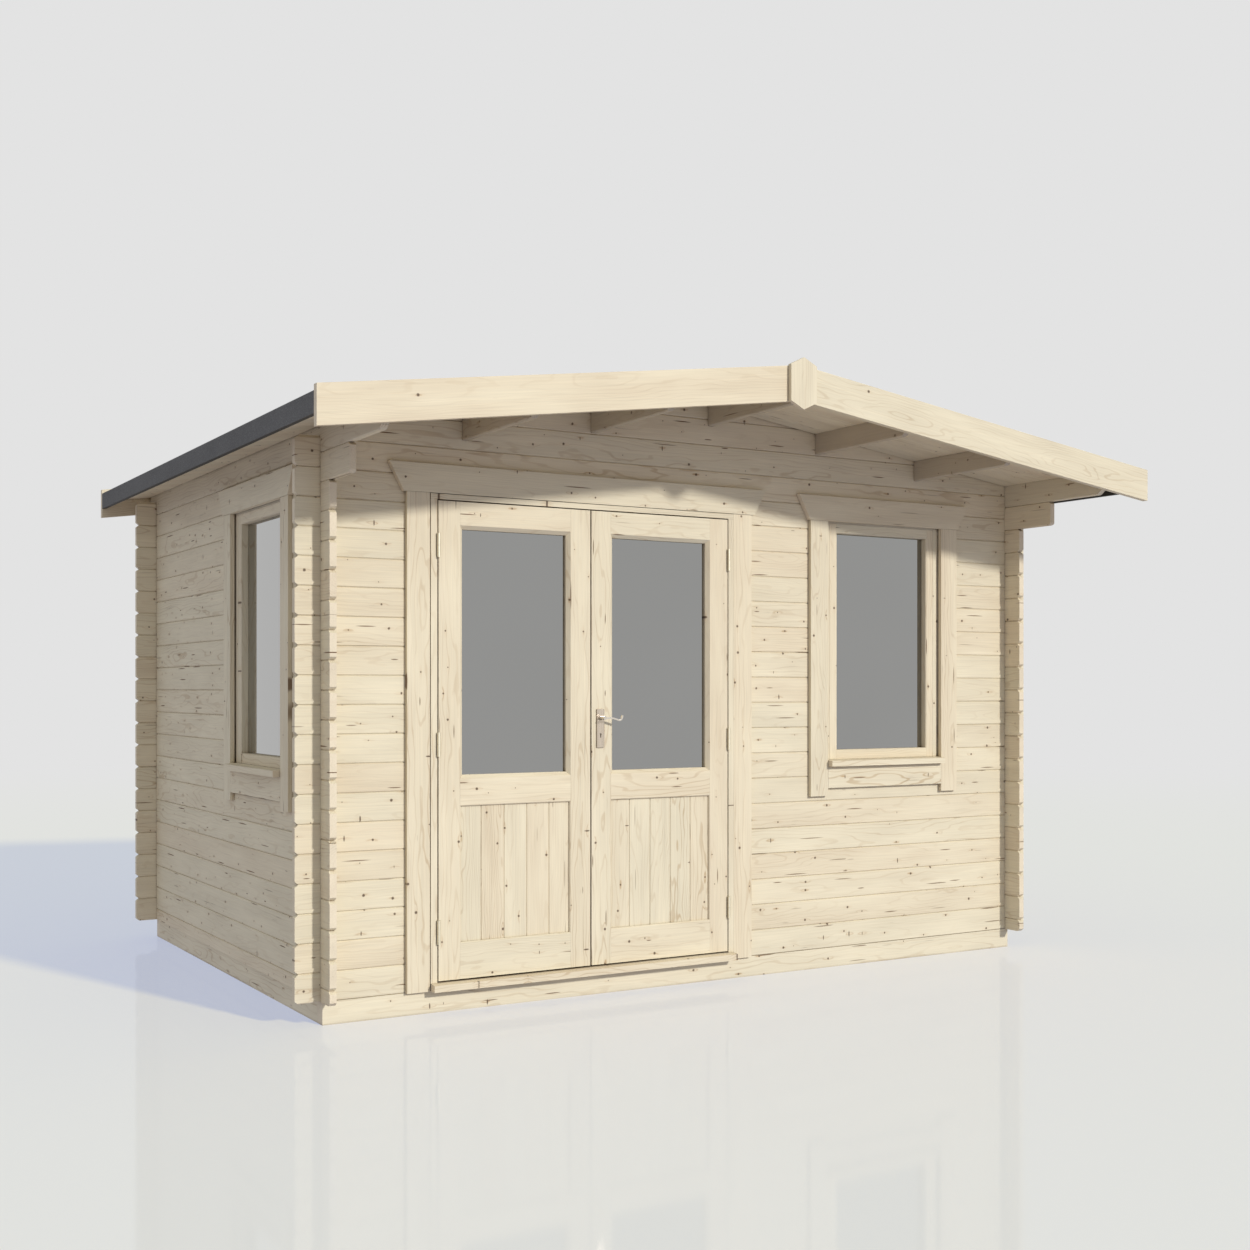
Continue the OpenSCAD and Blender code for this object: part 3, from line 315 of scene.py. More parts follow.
def spruce_knots(tree, wood, own, knotty):
    """Small dark knots, at most one to a cell, and the stain that runs out of them.

    Some are cut lengthwise, into spikes across the grain.
    """
    cell = put(
        tree, "TexVoronoi", {"Vector": own, "Scale": 1 / wood.knot_spacing}, voronoi_dimensions="2D"
    )
    draw = put(tree, "SeparateColor", {0: cell.outputs["Color"]})
    from_knot = put(tree, "VectorMath", {0: own, 1: cell.outputs["Position"]}, operation="SUBTRACT")
    # one knot in seven is a spike, narrow along the grain and long across it
    is_spike = put(tree, "Math", {0: draw.outputs[1], 1: 0.86}, operation="GREATER_THAN")
    narrow = put(tree, "MapRange", {0: is_spike, 3: 1.0, 4: 1.7})
    long = put(tree, "MapRange", {0: is_spike, 3: 1.0, 4: 0.45})
    shape = put(tree, "CombineXYZ", {0: narrow, 1: long, 2: 0.0})
    shaped = put(tree, "VectorMath", {0: from_knot, 1: shape}, operation="MULTIPLY")
    distance = put(tree, "VectorMath", {0: shaped}, operation="LENGTH").outputs["Value"]
    # the cells with the highest draws have the largest knots, and the lowest have none
    radius = put(
        tree, "MapRange",
        {0: draw.outputs[0], 1: 0.4, 2: 1.0, 3: wood.knot_radius * 0.35, 4: wood.knot_radius},
    )
    chosen = put(tree, "Math", {0: knotty, 1: -0.7, 2: 1.0}, operation="MULTIPLY_ADD")
    is_there = put(tree, "Math", {0: draw.outputs[0], 1: chosen}, operation="GREATER_THAN")
    radius = put(tree, "Math", {0: radius, 1: is_there}, operation="MULTIPLY")
    ragged = put(tree, "TexNoise", {"Vector": own, "Scale": RAGGED, "Detail": 1.0})
    edge = put(tree, "Math", {0: radius, 1: ragged, 2: radius}, operation="MULTIPLY_ADD")
    inner = put(tree, "Math", {0: edge, 1: 0.35, 2: 0.0001}, operation="MULTIPLY_ADD")
    outer = put(tree, "Math", {0: edge, 1: 0.8, 2: 0.0002}, operation="MULTIPLY_ADD")
    knot = put(
        tree, "MapRange", {0: distance, 1: inner, 2: outer, 3: 1.0, 4: 0.0},
        interpolation_type="SMOOTHSTEP",
    )
    # the stain ends 42 mm along the grain and 10 mm across it
    run_out = put(tree, "VectorMath", {0: from_knot, 1: (24, 100, 0)}, operation="MULTIPLY")
    run_length = put(tree, "VectorMath", {0: run_out}, operation="LENGTH").outputs["Value"]
    near_knot = put(
        tree, "MapRange", {0: run_length, 1: 0.1, 2: 1.0, 3: 1.0, 4: 0.0},
        interpolation_type="SMOOTHSTEP",
    )
    has_knot = put(tree, "MapRange", {0: radius, 1: 0.001, 2: 0.004})
    stain = put(tree, "Math", {0: near_knot, 1: has_knot}, operation="MULTIPLY")
    return knot, stain


def spruce_rings(tree, wood, place, draw, sway, stain, figure):
    """Growth rings round a pith behind the board, swaying and bent round the knots."""
    pith_across = put(tree, "MapRange", {0: draw.outputs[0], 3: -0.05, 4: 0.05})
    pith_depth = put(tree, "MapRange", {0: draw.outputs[1], 3: 0.02, 4: 0.07})
    pith = put(tree, "CombineXYZ", {1: pith_across, 2: pith_depth})
    from_pith = put(tree, "VectorMath", {0: place, 1: pith}, operation="SUBTRACT")
    radial = put(tree, "VectorMath", {0: from_pith, 1: (0, 1, 1)}, operation="MULTIPLY")
    radius = put(tree, "VectorMath", {0: radial}, operation="LENGTH").outputs["Value"]
    swayed = put(tree, "Math", {0: sway, 1: 0.09, 2: radius}, operation="MULTIPLY_ADD")
    round_knots = put(tree, "Math", {0: stain, 1: 0.005, 2: swayed}, operation="MULTIPLY_ADD")
    spacing = put(tree, "MapRange", {0: draw.outputs[2], 3: wood.ring * 0.7, 4: wood.ring * 1.4})
    phase = put(tree, "Math", {0: round_knots, 1: spacing}, operation="DIVIDE")
    turn = put(tree, "Math", {0: phase, 1: 2 * math.pi}, operation="MULTIPLY")
    wave = put(tree, "Math", {0: turn}, operation="SINE")
    # only the crest of each wave is late wood
    ring = put(tree, "MapRange", {0: wave, 1: 0.65, 2: 1.0}, interpolation_type="SMOOTHSTEP")
    return put(tree, "Math", {0: ring, 1: figure}, operation="MULTIPLY", use_clamp=True)


def spruce_checks(tree, wood, own, fibre, knotty):
    """Checks: lens-shaped splits along the grain, one in some of the long cells."""
    cell_size = (0.26, 0.06)
    cells = (1 / cell_size[0], 1 / cell_size[1], 0)
    stretched = put(tree, "VectorMath", {0: own, 1: cells}, operation="MULTIPLY")
    cell = put(tree, "TexVoronoi", {"Vector": stretched, "Scale": 1.0}, voronoi_dimensions="2D")
    draw = put(tree, "SeparateColor", {0: cell.outputs["Color"]})
    off = put(tree, "VectorMath", {0: stretched, 1: cell.outputs["Position"]}, operation="SUBTRACT")
    from_middle = put(tree, "VectorMath", {0: off, 1: (*cell_size, 0)}, operation="MULTIPLY")
    axis = put(tree, "SeparateXYZ", {0: from_middle})
    half = put(
        tree, "MapRange", {0: draw.outputs[0], 3: wood.check_length * 0.15, 4: wood.check_length}
    )
    along = put(tree, "Math", {0: axis.outputs[0], 1: half}, operation="DIVIDE")
    squared = put(tree, "Math", {0: along, 1: along}, operation="MULTIPLY")
    # the split bends up to 4 mm to either side, as the fibres do
    wander = put(tree, "MapRange", {0: fibre, 3: -0.004, 4: 0.004})
    bent = put(tree, "Math", {0: squared, 1: wander, 2: axis.outputs[1]}, operation="MULTIPLY_ADD")
    aside = put(tree, "Math", {0: bent}, operation="ABSOLUTE")
    across = put(tree, "Math", {0: aside, 1: wood.check_width}, operation="DIVIDE")
    both = put(tree, "Math", {0: squared, 1: across}, operation="ADD")
    lens = put(
        tree, "MapRange", {0: both, 1: 0.5, 2: 1.0, 3: 1.0, 4: 0.0}, interpolation_type="SMOOTHSTEP"
    )
    is_there = put(tree, "MapRange", {0: draw.outputs[1], 1: 0.7, 2: 0.85, 3: 0.0, 4: knotty})
    return put(tree, "Math", {0: lens, 1: is_there}, operation="MULTIPLY")


def joint_dust_and_shade(tree, wood, clean, sway, dust_and_shade_amount):
    """Dust and painted shade in the joints and inner corners, uneven along them."""
    # dust and painted shade: the wood darkens where ambient occlusion finds a joint or inner corner
    corner = put(tree, "AmbientOcclusion", {"Distance": wood.dust_and_shade_reach}, samples=6)
    deep = put(tree, "MapRange", {0: corner.outputs["AO"], 1: 0.35, 2: 0.95, 3: 1.0, 4: 0.0})
    settled = put(tree, "Math", {0: deep, 1: 3.0}, operation="POWER")
    along_joint = put(tree, "MapRange", {0: sway, 1: 0.4, 2: 0.6, 3: 0.35, 4: 1.25})
    uneven = put(tree, "Math", {0: settled, 1: along_joint}, operation="MULTIPLY")
    gathered = put(tree, "Math", {0: uneven, 1: wood.dust_and_shade_share}, operation="MULTIPLY")
    dust = put(tree, "Math", {0: gathered, 1: dust_and_shade_amount}, operation="MULTIPLY", use_clamp=True)
    return put(tree, "Mix", {0: dust, 6: clean, 7: wood.dust}, data_type="RGBA").outputs[2]


def planed_spruce(wood):
    """Planed, untreated spruce.

    Planing leaves it flat and matt with a faint shine on the late wood. The eye gets
    cream boards that differ a little, with soft rings, fine streaks, dark knots and checks.
    """
    material, tree = new_material("planed_spruce")
    place = put(tree, "Attribute", attribute_name="board_place").outputs["Vector"]
    tone, end, strength, knotty, age, dust_and_shade_amount = (
        put(tree, "Attribute", attribute_name="board_" + name).outputs["Fac"]
        for name in ("tone", "end", "figure", "knots", "age", "dust")
    )
    draws = put(tree, "TexWhiteNoise", {"W": tone}, noise_dimensions="1D").outputs["Color"]
    draw = put(tree, "SeparateColor", {0: draws})
    own = put(tree, "VectorMath", {0: tone, 1: BOARD_SPREAD, 2: place}, operation="MULTIPLY_ADD")
    sway, patch, fibre, streak = (
        put(
            tree, "TexNoise",
            {
                "Vector": put(tree, "VectorMath", {0: own, 1: waves}, operation="MULTIPLY"),
                "Scale": 1.0, "Detail": detail,
            },
        )
        for waves, detail in ((BENDS, 3.0), (PATCHES, 2.0), (FIBRES, 2.0), (STREAKS, 3.0))
    )

    knot, stain = spruce_knots(tree, wood, own, knotty)
    shows = put(tree, "MapRange", {0: patch, 1: 0.36, 2: 0.66, 3: 0.3, 4: 1.3})
    plain_figure = put(tree, "Math", {0: strength, 1: shows}, operation="MULTIPLY")
    figure = put(tree, "Math", {0: stain, 1: 0.45, 2: plain_figure}, operation="MULTIPLY_ADD")
    ring = spruce_rings(tree, wood, place, draw, sway, stain, figure)
    # hairline cracks where the darkest streaks cross a dry patch
    hairline = put(tree, "MapRange", {0: streak, 1: 0.68, 2: 0.73})
    dry = put(tree, "MapRange", {0: patch, 1: 0.57, 2: 0.66, 3: 0.0, 4: knotty})
    crack = put(tree, "Math", {0: hairline, 1: dry}, operation="MULTIPLY")
    thin_crack = put(tree, "Math", {0: crack, 1: 0.6}, operation="MULTIPLY")
    check = spruce_checks(tree, wood, own, fibre, knotty)
    split = put(tree, "Math", {0: check, 1: thin_crack}, operation="MAXIMUM")

    warmth = put(tree, "Math", {0: draw.outputs[0], 1: patch}, operation="MULTIPLY")
    warm = put(tree, "MapRange", {0: warmth, 1: 0.1, 2: 0.9})
    base = put(tree, "Mix", {0: warm, 6: wood.pale, 7: wood.rosy}, data_type="RGBA").outputs[2]
    seen = put(tree, "Mix", {0: ring, 6: base, 7: wood.late}, data_type="RGBA").outputs[2]
    for mark, strongest, tint in (
        (end, 0.6, wood.end),
        (stain, 0.25, wood.stain),
        (split, 0.85, wood.check),
        (knot, 0.9, wood.knot),
    ):
        share = put(tree, "Math", {0: mark, 1: strongest}, operation="MULTIPLY")
        seen = put(tree, "Mix", {0: share, 6: seen, 7: tint}, data_type="RGBA").outputs[2]
    # light and dark within a board and between boards, as factors
    fibre_tone = put(tree, "MapRange", {0: fibre, 1: 0.3, 2: 0.7, 3: 1.03, 4: 0.96})
    streak_tone = put(tree, "MapRange", {0: streak, 1: 0.3, 2: 0.7, 3: 1.02, 4: 0.96})
    patch_tone = put(tree, "MapRange", {0: patch, 1: 0.3, 2: 0.7, 3: 1.05, 4: 0.94})
    board_tone = put(tree, "MapRange", {0: draw.outputs[2], 3: 0.98, 4: 1.015})
    lines = put(tree, "Math", {0: fibre_tone, 1: streak_tone}, operation="MULTIPLY")
    broad = put(tree, "Math", {0: patch_tone, 1: board_tone}, operation="MULTIPLY")
    tones = put(tree, "Math", {0: lines, 1: broad}, operation="MULTIPLY")
    toned = put(tree, "VectorMath", {0: seen, 1: tones}, operation="MULTIPLY")
    # dust and painted shade in the joints and inner corners
    dusty_shaded = joint_dust_and_shade(tree, wood, toned, sway, dust_and_shade_amount)
    # painted shade: the wood is mixed toward grey-brown on the purlins beneath the roof
    final = put(tree, "Mix", {0: age, 6: dusty_shaded, 7: wood.painted_shade}, data_type="RGBA").outputs[2]

    # the plane leaves late wood proud, and splits are open
    raised = put(tree, "Math", {0: ring, 1: 0.5, 2: fibre}, operation="MULTIPLY_ADD")
    height = put(tree, "Math", {0: split, 1: -2.5, 2: raised}, operation="MULTIPLY_ADD")
    bump = put(tree, "Bump", {"Strength": 0.35, "Distance": wood.relief, "Height": height})
    rough = put(tree, "MapRange", {0: ring, 3: 0.64, 4: 0.5})
    surface = put(
        tree, "BsdfPrincipled",
        {"Base Color": final, "Roughness": rough, "Normal": bump, "Specular IOR Level": 0.3},
    )
    put(tree, "OutputMaterial", {"Surface": surface})
    return material


def roofing_felt(felt):
    """Bitumen felt with a mineral face.

    Crushed slate is rolled into its face. The eye gets a dead matt dark grey with paler
    grains, a dark painted shadow line at each lap and a row of dull nail heads beside it.
    """
    material, tree = new_material("mineral_roofing_felt")
    at = put(tree, "TexCoord").outputs["Object"]
    grain = put(tree, "TexVoronoi", {"Vector": at, "Scale": 1 / felt.grain})
    draw = put(tree, "SeparateColor", {0: grain.outputs["Color"]})
    pale = put(tree, "MapRange", {0: draw, 1: 0.55, 2: 1.0, 3: 0.0, 4: 0.7})
    # faint clouds a third of a metre wide
    cloud = put(tree, "TexNoise", {"Vector": at, "Scale": 3.0, "Detail": 4.0})
    shade = put(tree, "MapRange", {0: cloud, 1: 0.3, 2: 0.7, 3: 0.9, 4: 1.1})
    speckled = put(tree, "Mix", {0: pale, 6: felt.face, 7: felt.grit}, data_type="RGBA").outputs[2]
    plain = put(tree, "VectorMath", {0: speckled, 1: shade}, operation="MULTIPLY")

    # sheets laid along the ridge, each lapped over the one below
    axis = put(tree, "SeparateXYZ", {0: at})
    from_ridge = put(tree, "Math", {0: axis.outputs[0]}, operation="ABSOLUTE")
    shown = felt.sheet - felt.lap
    on_sheet = put(tree, "Math", {0: from_ridge, 1: shown}, operation="MODULO")
    from_edge = put(tree, "Math", {0: shown, 1: on_sheet}, operation="SUBTRACT")
    # painted shadow: a dark line along each lap's edge, in the felt's bitumen colour
    edge = put(tree, "MapRange", {0: from_edge, 1: 0.002, 2: 0.006, 3: 1.0, 4: 0.0})
    lap_shadowed = put(tree, "Mix", {0: edge, 6: plain, 7: felt.back}, data_type="RGBA").outputs[2]

    # round nail heads in a row beside each lap
    pitch = felt.nail_spacing
    on_pitch = put(tree, "Math", {0: axis.outputs[1], 1: pitch}, operation="FLOORED_MODULO")
    nail_y = put(tree, "Math", {0: on_pitch, 1: pitch / 2}, operation="SUBTRACT")
    nail_x = put(tree, "Math", {0: from_edge, 1: felt.nail_inset}, operation="SUBTRACT")
    nail_at = put(tree, "CombineXYZ", {0: nail_x, 1: nail_y})
    nail_far = put(tree, "VectorMath", {0: nail_at}, operation="LENGTH").outputs["Value"]
    nail = put(tree, "Math", {0: nail_far, 1: felt.nail_head / 2}, operation="LESS_THAN")
    nailed = put(tree, "Mix", {0: nail, 6: lap_shadowed, 7: felt.nail}, data_type="RGBA").outputs[2]

    step = put(tree, "MapRange", {0: from_edge, 1: 0.0, 2: 0.004, 3: 0.0, 4: 1.0})
    proud = put(tree, "Math", {0: nail, 1: step}, operation="ADD")
    height = put(tree, "Math", {0: grain, 1: 0.3, 2: proud}, operation="MULTIPLY_ADD")
    bump = put(tree, "Bump", {"Strength": 0.8, "Distance": felt.thickness, "Height": height})
    rough = put(tree, "MapRange", {0: nail, 3: 0.9, 4: 0.4})
    surface = put(
        tree, "BsdfPrincipled",
        {
            "Base Color": nailed, "Roughness": rough, "Metallic": nail, "Normal": bump,
            "Specular IOR Level": 0.3,
        },
    )
    put(tree, "OutputMaterial", {"Surface": surface})
    return material


def felt_back_and_shade(felt):
    """The felt's bare back, wrapped round the eaves boards.

    It is bitumen without grit. The eye gets a near-black, slightly shiny skin with
    faint creases some centimetres long. On the eaves boards the near-black is partly painted shade, as
    they lie in the roof's shadow.
    """
    material, tree = new_material("bitumen_felt_back")
    at = put(tree, "TexCoord").outputs["Object"]
    crease = put(tree, "TexNoise", {"Vector": at, "Scale": 18.0, "Detail": 3.0})
    shade = put(tree, "MapRange", {0: crease, 1: 0.3, 2: 0.7, 3: 0.8, 4: 1.2})
    final = put(tree, "VectorMath", {0: felt.back, 1: shade}, operation="MULTIPLY")
    bump = put(tree, "Bump", {"Strength": 0.4, "Distance": 0.001, "Height": crease})
    surface = put(
        tree, "BsdfPrincipled", {"Base Color": final, "Roughness": 0.75, "Normal": bump}
    )
    put(tree, "OutputMaterial", {"Surface": surface})
    return material


def coated_glass(glass):
    """Float glass with a sun coating.

    The coating is a thin film of metal, so the pane is shaded as one. The eye gets an
    even grey pane that mirrors its surroundings at any angle.
    """
    material, tree = new_material("coated_float_glass")
    at = put(tree, "TexCoord").outputs["Object"]
    # the coating's thickness drifts a little over two thirds of a metre
    cloud = put(tree, "TexNoise", {"Vector": at, "Scale": 1.5, "Detail": 1.0})
    shade = put(tree, "MapRange", {0: cloud, 1: 0.3, 2: 0.7, 3: 0.985, 4: 1.015})
    final = put(tree, "VectorMath", {0: glass.tint, 1: shade}, operation="MULTIPLY")
    surface = put(
        tree, "BsdfPrincipled",
        {
            "Base Color": final,
            "Metallic": 1.0,
            "Roughness": 0.03,
            "Coat Weight": 1.0,
            "Coat Roughness": 0.02,
        },
    )
    put(tree, "OutputMaterial", {"Surface": surface})
    return material


# Lines or spangles to a metre on the metals, each drawn coarser than real so that it shows
BRUSHED = (400, 400, 8)  # lines 2.5 mm apart that run up the handle plates
POLISHED = (400, 400, 400)  # faint scratches every way
DIPPED = (150, 150, 150)  # zinc spangle 7 mm wide


def metal(name, metals, tint, roughness, texture, underside_shade=0.0):
    """Bare metal with a fine texture, and grime and painted shade in its corners.

    Brushed, it gives the eye soft streaks of light, polished a bright line, and dipped
    in zinc a dull even sheen. underside_shade is the share of painted shade on faces that look down.
    """
    material, tree = new_material(name)
    at = put(tree, "TexCoord")
    waves = put(tree, "VectorMath", {0: at.outputs["Object"], 1: texture}, operation="MULTIPLY")
    fine = put(tree, "TexNoise", {"Vector": waves, "Scale": 1.0, "Detail": 3.0})
    rough = put(
        tree, "MapRange", {0: fine, 1: 0.3, 2: 0.7, 3: roughness * 0.8, 4: roughness * 1.25}
    )
    bump = put(tree, "Bump", {"Strength": 0.2, "Distance": 0.0001, "Height": fine})
    # grime and painted shade: darker in the keyhole and the inner corners that ambient occlusion finds,
    # and painted shade on faces that look down
    corner = put(tree, "AmbientOcclusion", {"Distance": metals.grime_and_shade_reach}, samples=6)
    deep = put(tree, "MapRange", {0: corner.outputs["AO"], 1: 0.3, 2: 0.8, 3: 0.9, 4: 0.0})
    facing = put(tree, "SeparateXYZ", {0: at.outputs["Normal"]})
    below = put(tree, "MapRange", {0: facing.outputs[2], 1: -0.1, 2: -0.6, 3: 0.0, 4: underside_shade})
    dull = put(tree, "Math", {0: deep, 1: below}, operation="MAXIMUM")
    final = put(tree, "Mix", {0: dull, 6: tint, 7: metals.grime_and_shade}, data_type="RGBA").outputs[2]
    surface = put(
        tree, "BsdfPrincipled",
        {"Base Color": final, "Metallic": 1.0, "Roughness": rough, "Normal": bump},
    )
    put(tree, "OutputMaterial", {"Surface": surface})
    return material


# ---------------------------------------------------------------- operators

FRONT_LOGS = ["front_wall_left", "front_wall_middle", "front_wall_lower", "front_wall_right"]
SHELTERED_LOGS = [
    "front_gable", "left_wall_front", "left_wall_back", "left_wall_lower", "left_wall_top",
]
PLAIN_LOGS = ["back_wall", "back_gable", "right_wall", "base_frame"]
PURLINS = ["ridge_purlin", "middle_purlins"]
SLOPING = ["front_barge_boards", "rear_barge_boards"]
JOINERY = [
    "door_frame", "door_sill", "door_trims", "window_frames", "window_sashes", "window_sills",
    "window_trims", "left_leaf", "right_leaf",
]
PANELS = ["left_leaf_panel", "right_leaf_panel"]
GLASS = ["window_glass", "left_leaf_glass", "right_leaf_glass"]


def spruce_material():
    """The planed spruce, made once."""
    return bpy.data.materials.get("planed_spruce") or planed_spruce(bpy.context.scene.cabin_spruce)


def roof_lean():
    """Slope of the roof, from the largest upward face of the right roof boards."""
    mesh = nodes["roof_boards_right"].data
    top = max((f for f in mesh.polygons if f.normal.z > 0.5), key=lambda f: f.area)
    return math.atan2(top.normal.x, top.normal.z)


class CABIN_OT_logs(bpy.types.Operator):
    """Finish the log walls, base and floor"""

    bl_idname = "cabin.logs"
    bl_label = "Log walls"

    def execute(self, context):
        wood = spruce_material()
        # the clearest logs go to the front, and their joints, which lie in the sun, get less of the dust
        # and painted shade
        for name in FRONT_LOGS:
            lay_grain(nodes[name], figured=0.55, dusty_shaded=0.4)
        for name in SHELTERED_LOGS:
            lay_grain(nodes[name], knotty=1.3, figured=0.9)
        for name in PLAIN_LOGS:
            lay_grain(nodes[name])
        lay_grain(nodes["floor_boards"], across=1)
        dress(FRONT_LOGS + SHELTERED_LOGS + PLAIN_LOGS + ["floor_boards"], wood)
        return {"FINISHED"}


class CABIN_OT_roof(bpy.types.Operator):
    """Finish the purlins, roof boards, felt and barge boards"""

    bl_idname = "cabin.roof"
    bl_label = "Roof"

    def execute(self, context):
        wood = spruce_material()
        lean = roof_lean()
        # painted shade on the purlins beneath the roof
        for name in PURLINS:
            lay_grain(nodes[name], painted_shade=0.45)
        for name in SLOPING:
            lay_grain(nodes[name], lean=lean, knotty=0.05)
        # a little painted shade on the eaves purlins
        lay_grain(nodes["eaves_purlins"], painted_shade=0.1)
        lay_grain(nodes["finials"], knotty=0.05)
        for name in ("roof_boards_left", "roof_boards_right"):
            lay_grain(nodes[name], across=1, lean=lean)
        dress(PURLINS + SLOPING + ["eaves_purlins", "finials"], wood)
        dress(["roof_boards_left", "roof_boards_right"], wood)
        felt = context.scene.cabin_felt
        mineral = roofing_felt(felt)
        dress(["roof_felt_left", "roof_felt_right"], mineral)
        # the eaves boards in the near-black felt back, partly a painted shade
        dress(["eaves_boards"], felt_back_and_shade(felt))
        return {"FINISHED"}


class CABIN_OT_joinery(bpy.types.Operator):
    """Finish the doors, windows, sills and trims"""

    bl_idname = "cabin.joinery"
    bl_label = "Doors and windows"

    def execute(self, context):
        wood = spruce_material()
        for name in JOINERY:
            lay_grain(nodes[name])
        for name in PANELS:
            lay_grain(nodes[name], across=0, knotty=0.5)
        dress(JOINERY + PANELS, wood)
        dress(GLASS, coated_glass(context.scene.cabin_glass))
        return {"FINISHED"}


class CABIN_OT_ironwork(bpy.types.Operator):
    """Finish the hinges and the handle"""

    bl_idname = "cabin.ironwork"
    bl_label = "Hinges and handle"

    def execute(self, context):
        metals = context.scene.cabin_metal
        brushed = metal("brushed_nickel_plate", metals, metals.nickel, 0.25, BRUSHED)
        # the lever: its lighter nickel is a painted highlight, and its faces that look down carry
        # painted shade
        polished = metal("polished_nickel", metals, metals.polish, 0.15, POLISHED, underside_shade=0.8)
        zinc = metal("galvanised_steel", metals, metals.zinc, 0.5, DIPPED)
        dress(["handle_plates"], brushed)
        dress(["door_lever"], polished)
        dress(["frame_hinges", "left_leaf_hinges", "right_leaf_hinges"], zinc)
        return {"FINISHED"}


class CABIN_OT_stage(bpy.types.Operator):
    """Make the floor, the light and the camera"""

    bl_idname = "cabin.stage"
    bl_label = "Stage"

    def execute(self, context):
        stage = context.scene.cabin_stage
        make_floor(stage)
        make_light(stage)
        make_camera(stage)
        context.scene.view_settings.view_transform = "Standard"
        return {"FINISHED"}


def make_floor(stage):
    """A wide floor that fades into the backdrop."""
    radius, fade_start, fade_end = 60.0, 6.0, 20.0
    mesh = bpy.data.meshes.new("floor")
    floor = bpy.data.objects.new("floor", mesh)
    bpy.context.scene.collection.objects.link(floor)
    shape = bmesh.new()
    bmesh.ops.create_circle(shape, cap_ends=True, segments=96, radius=radius)
    shape.to_mesh(mesh)
    shape.free()
    material, tree = new_material("pale_floor")
    at = put(tree, "TexCoord").outputs["Object"]
    far = put(tree, "VectorMath", {0: at}, operation="LENGTH").outputs["Value"]
    fade = put(
        tree, "MapRange", {0: far, 1: fade_start, 2: fade_end}, interpolation_type="SMOOTHSTEP"
    )
    path = put(tree, "LightPath")
    seen = put(
        tree, "Math", {0: path.outputs["Is Camera Ray"], 1: path.outputs["Is Glossy Ray"]},
        operation="MAXIMUM",
    )
    hidden = put(tree, "Math", {0: fade, 1: seen}, operation="MULTIPLY")
    plain = put(tree, "BsdfDiffuse", {"Color": stage.floor})
    glow = put(tree, "Emission", {"Color": stage.floor_glow, "Strength": 1.0})
    lit = put(tree, "AddShader", {0: plain, 1: glow})
    mirror = put(tree, "BsdfGlossy", {"Color": (1, 1, 1), "Roughness": stage.floor_blur})
    near = put(tree, "MixShader", {0: stage.floor_sheen, 1: lit, 2: mirror})
    backdrop = put(tree, "Emission", {"Color": stage.backdrop, "Strength": 1.0})
    shown = put(tree, "MixShader", {0: hidden, 1: near, 2: backdrop})
    bounce = put(tree, "Emission", {"Color": stage.bounce, "Strength": 1.0})
    surface = put(tree, "MixShader", {0: seen, 1: bounce, 2: shown})
    put(tree, "OutputMaterial", {"Surface": surface})
    mesh.materials.append(material)


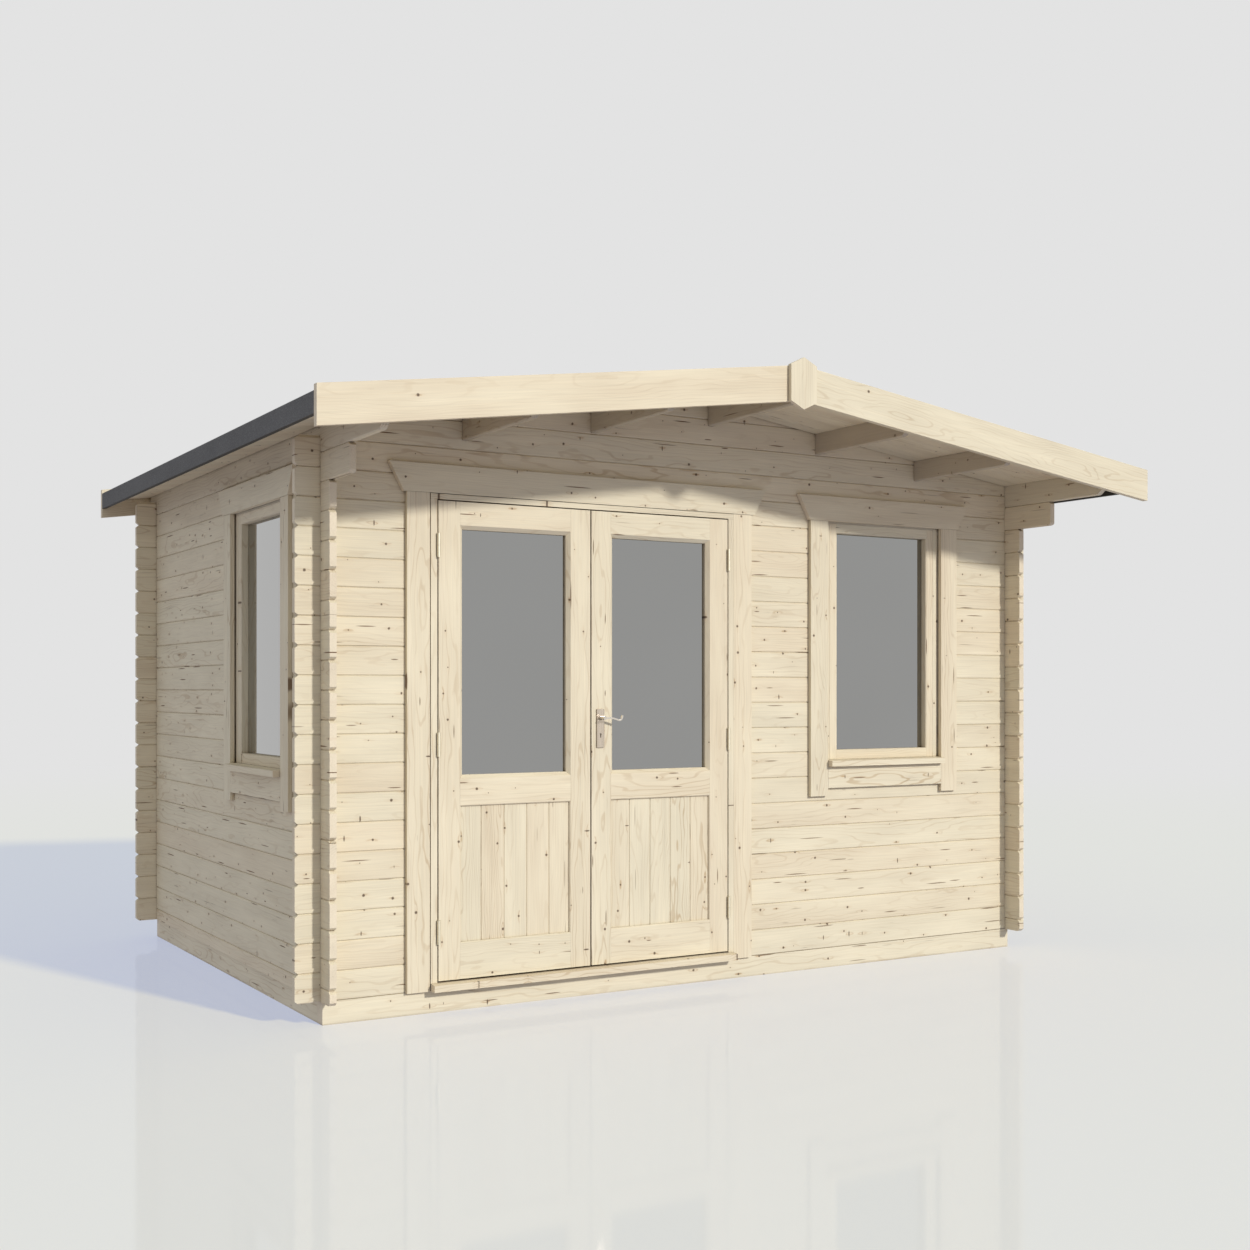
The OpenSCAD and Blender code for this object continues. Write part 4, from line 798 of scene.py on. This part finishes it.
def make_light(stage):
    """A low sun and an even sky, with the backdrop's colour where it is seen."""
    lamp = bpy.data.lights.new("sun", "SUN")
    lamp.energy = stage.sun_power
    lamp.angle = stage.sun_softness
    sun = bpy.data.objects.new("sun", lamp)
    across = math.cos(stage.sun_height)
    towards = Vector(
        (
            -math.sin(stage.sun_heading) * across,
            -math.cos(stage.sun_heading) * across,
            math.sin(stage.sun_height),
        )
    )
    sun.rotation_mode = "QUATERNION"
    sun.rotation_quaternion = towards.to_track_quat("Z", "Y")
    bpy.context.scene.collection.objects.link(sun)
    world = bpy.data.worlds.new("sky")
    bpy.context.scene.world = world
    world.use_nodes = True
    tree = world.node_tree
    tree.nodes.clear()
    path = put(tree, "LightPath")
    seen = put(
        tree, "Math", {0: path.outputs["Is Camera Ray"], 1: path.outputs["Is Glossy Ray"]},
        operation="MAXIMUM",
    )
    shown = put(
        tree, "Math", {0: seen, 1: path.outputs["Is Transmission Ray"]}, operation="MAXIMUM"
    )
    even = put(tree, "Background", {"Color": stage.sky, "Strength": stage.sky_power})
    plain = put(tree, "Background", {"Color": stage.backdrop, "Strength": 1.0})
    sky = put(tree, "MixShader", {0: shown, 1: even, 2: plain})
    put(tree, "OutputWorld", {"Surface": sky})


def make_camera(stage):
    """A level camera at eye height."""
    data = bpy.data.cameras.new("camera")
    data.sensor_width = 36.0
    data.lens = stage.lens
    data.shift_y = stage.rise
    data.clip_end = 200.0
    camera = bpy.data.objects.new("camera", data)
    camera.location = stage.eye
    camera.rotation_euler = (math.pi / 2, 0.0, -stage.heading)
    bpy.context.scene.collection.objects.link(camera)
    bpy.context.scene.camera = camera


class CABIN_PT_panel(bpy.types.Panel):
    """Lists the cabin's pieces"""

    bl_label = "Log cabin"
    bl_idname = "CABIN_PT_panel"
    bl_space_type = "VIEW_3D"
    bl_region_type = "UI"
    bl_category = "Log cabin"

    def draw(self, context):
        for operator in OPERATORS:
            self.layout.operator(operator.bl_idname)
        for name in GROUPS:
            box = self.layout.box()
            group = getattr(context.scene, name)
            for prop in group.__annotations__:
                box.prop(group, prop)


GROUPS = {
    "cabin_spruce": CabinSpruce,
    "cabin_felt": CabinFelt,
    "cabin_glass": CabinGlass,
    "cabin_metal": CabinMetal,
    "cabin_stage": CabinStage,
}
OPERATORS = [CABIN_OT_logs, CABIN_OT_roof, CABIN_OT_joinery, CABIN_OT_ironwork, CABIN_OT_stage]


def register():
    for group in GROUPS.values():
        bpy.utils.register_class(group)
    for name, group in GROUPS.items():
        setattr(bpy.types.Scene, name, PointerProperty(type=group))
    for operator in OPERATORS:
        bpy.utils.register_class(operator)
    bpy.utils.register_class(CABIN_PT_panel)


def unregister():
    bpy.utils.unregister_class(CABIN_PT_panel)
    for operator in reversed(OPERATORS):
        bpy.utils.unregister_class(operator)
    for name in GROUPS:
        delattr(bpy.types.Scene, name)
    for group in reversed(list(GROUPS.values())):
        bpy.utils.unregister_class(group)


def main():
    register()
    bpy.ops.cabin.logs()
    bpy.ops.cabin.roof()
    bpy.ops.cabin.joinery()
    bpy.ops.cabin.ironwork()
    bpy.ops.cabin.stage()


if __name__ == "__main__":
    main()
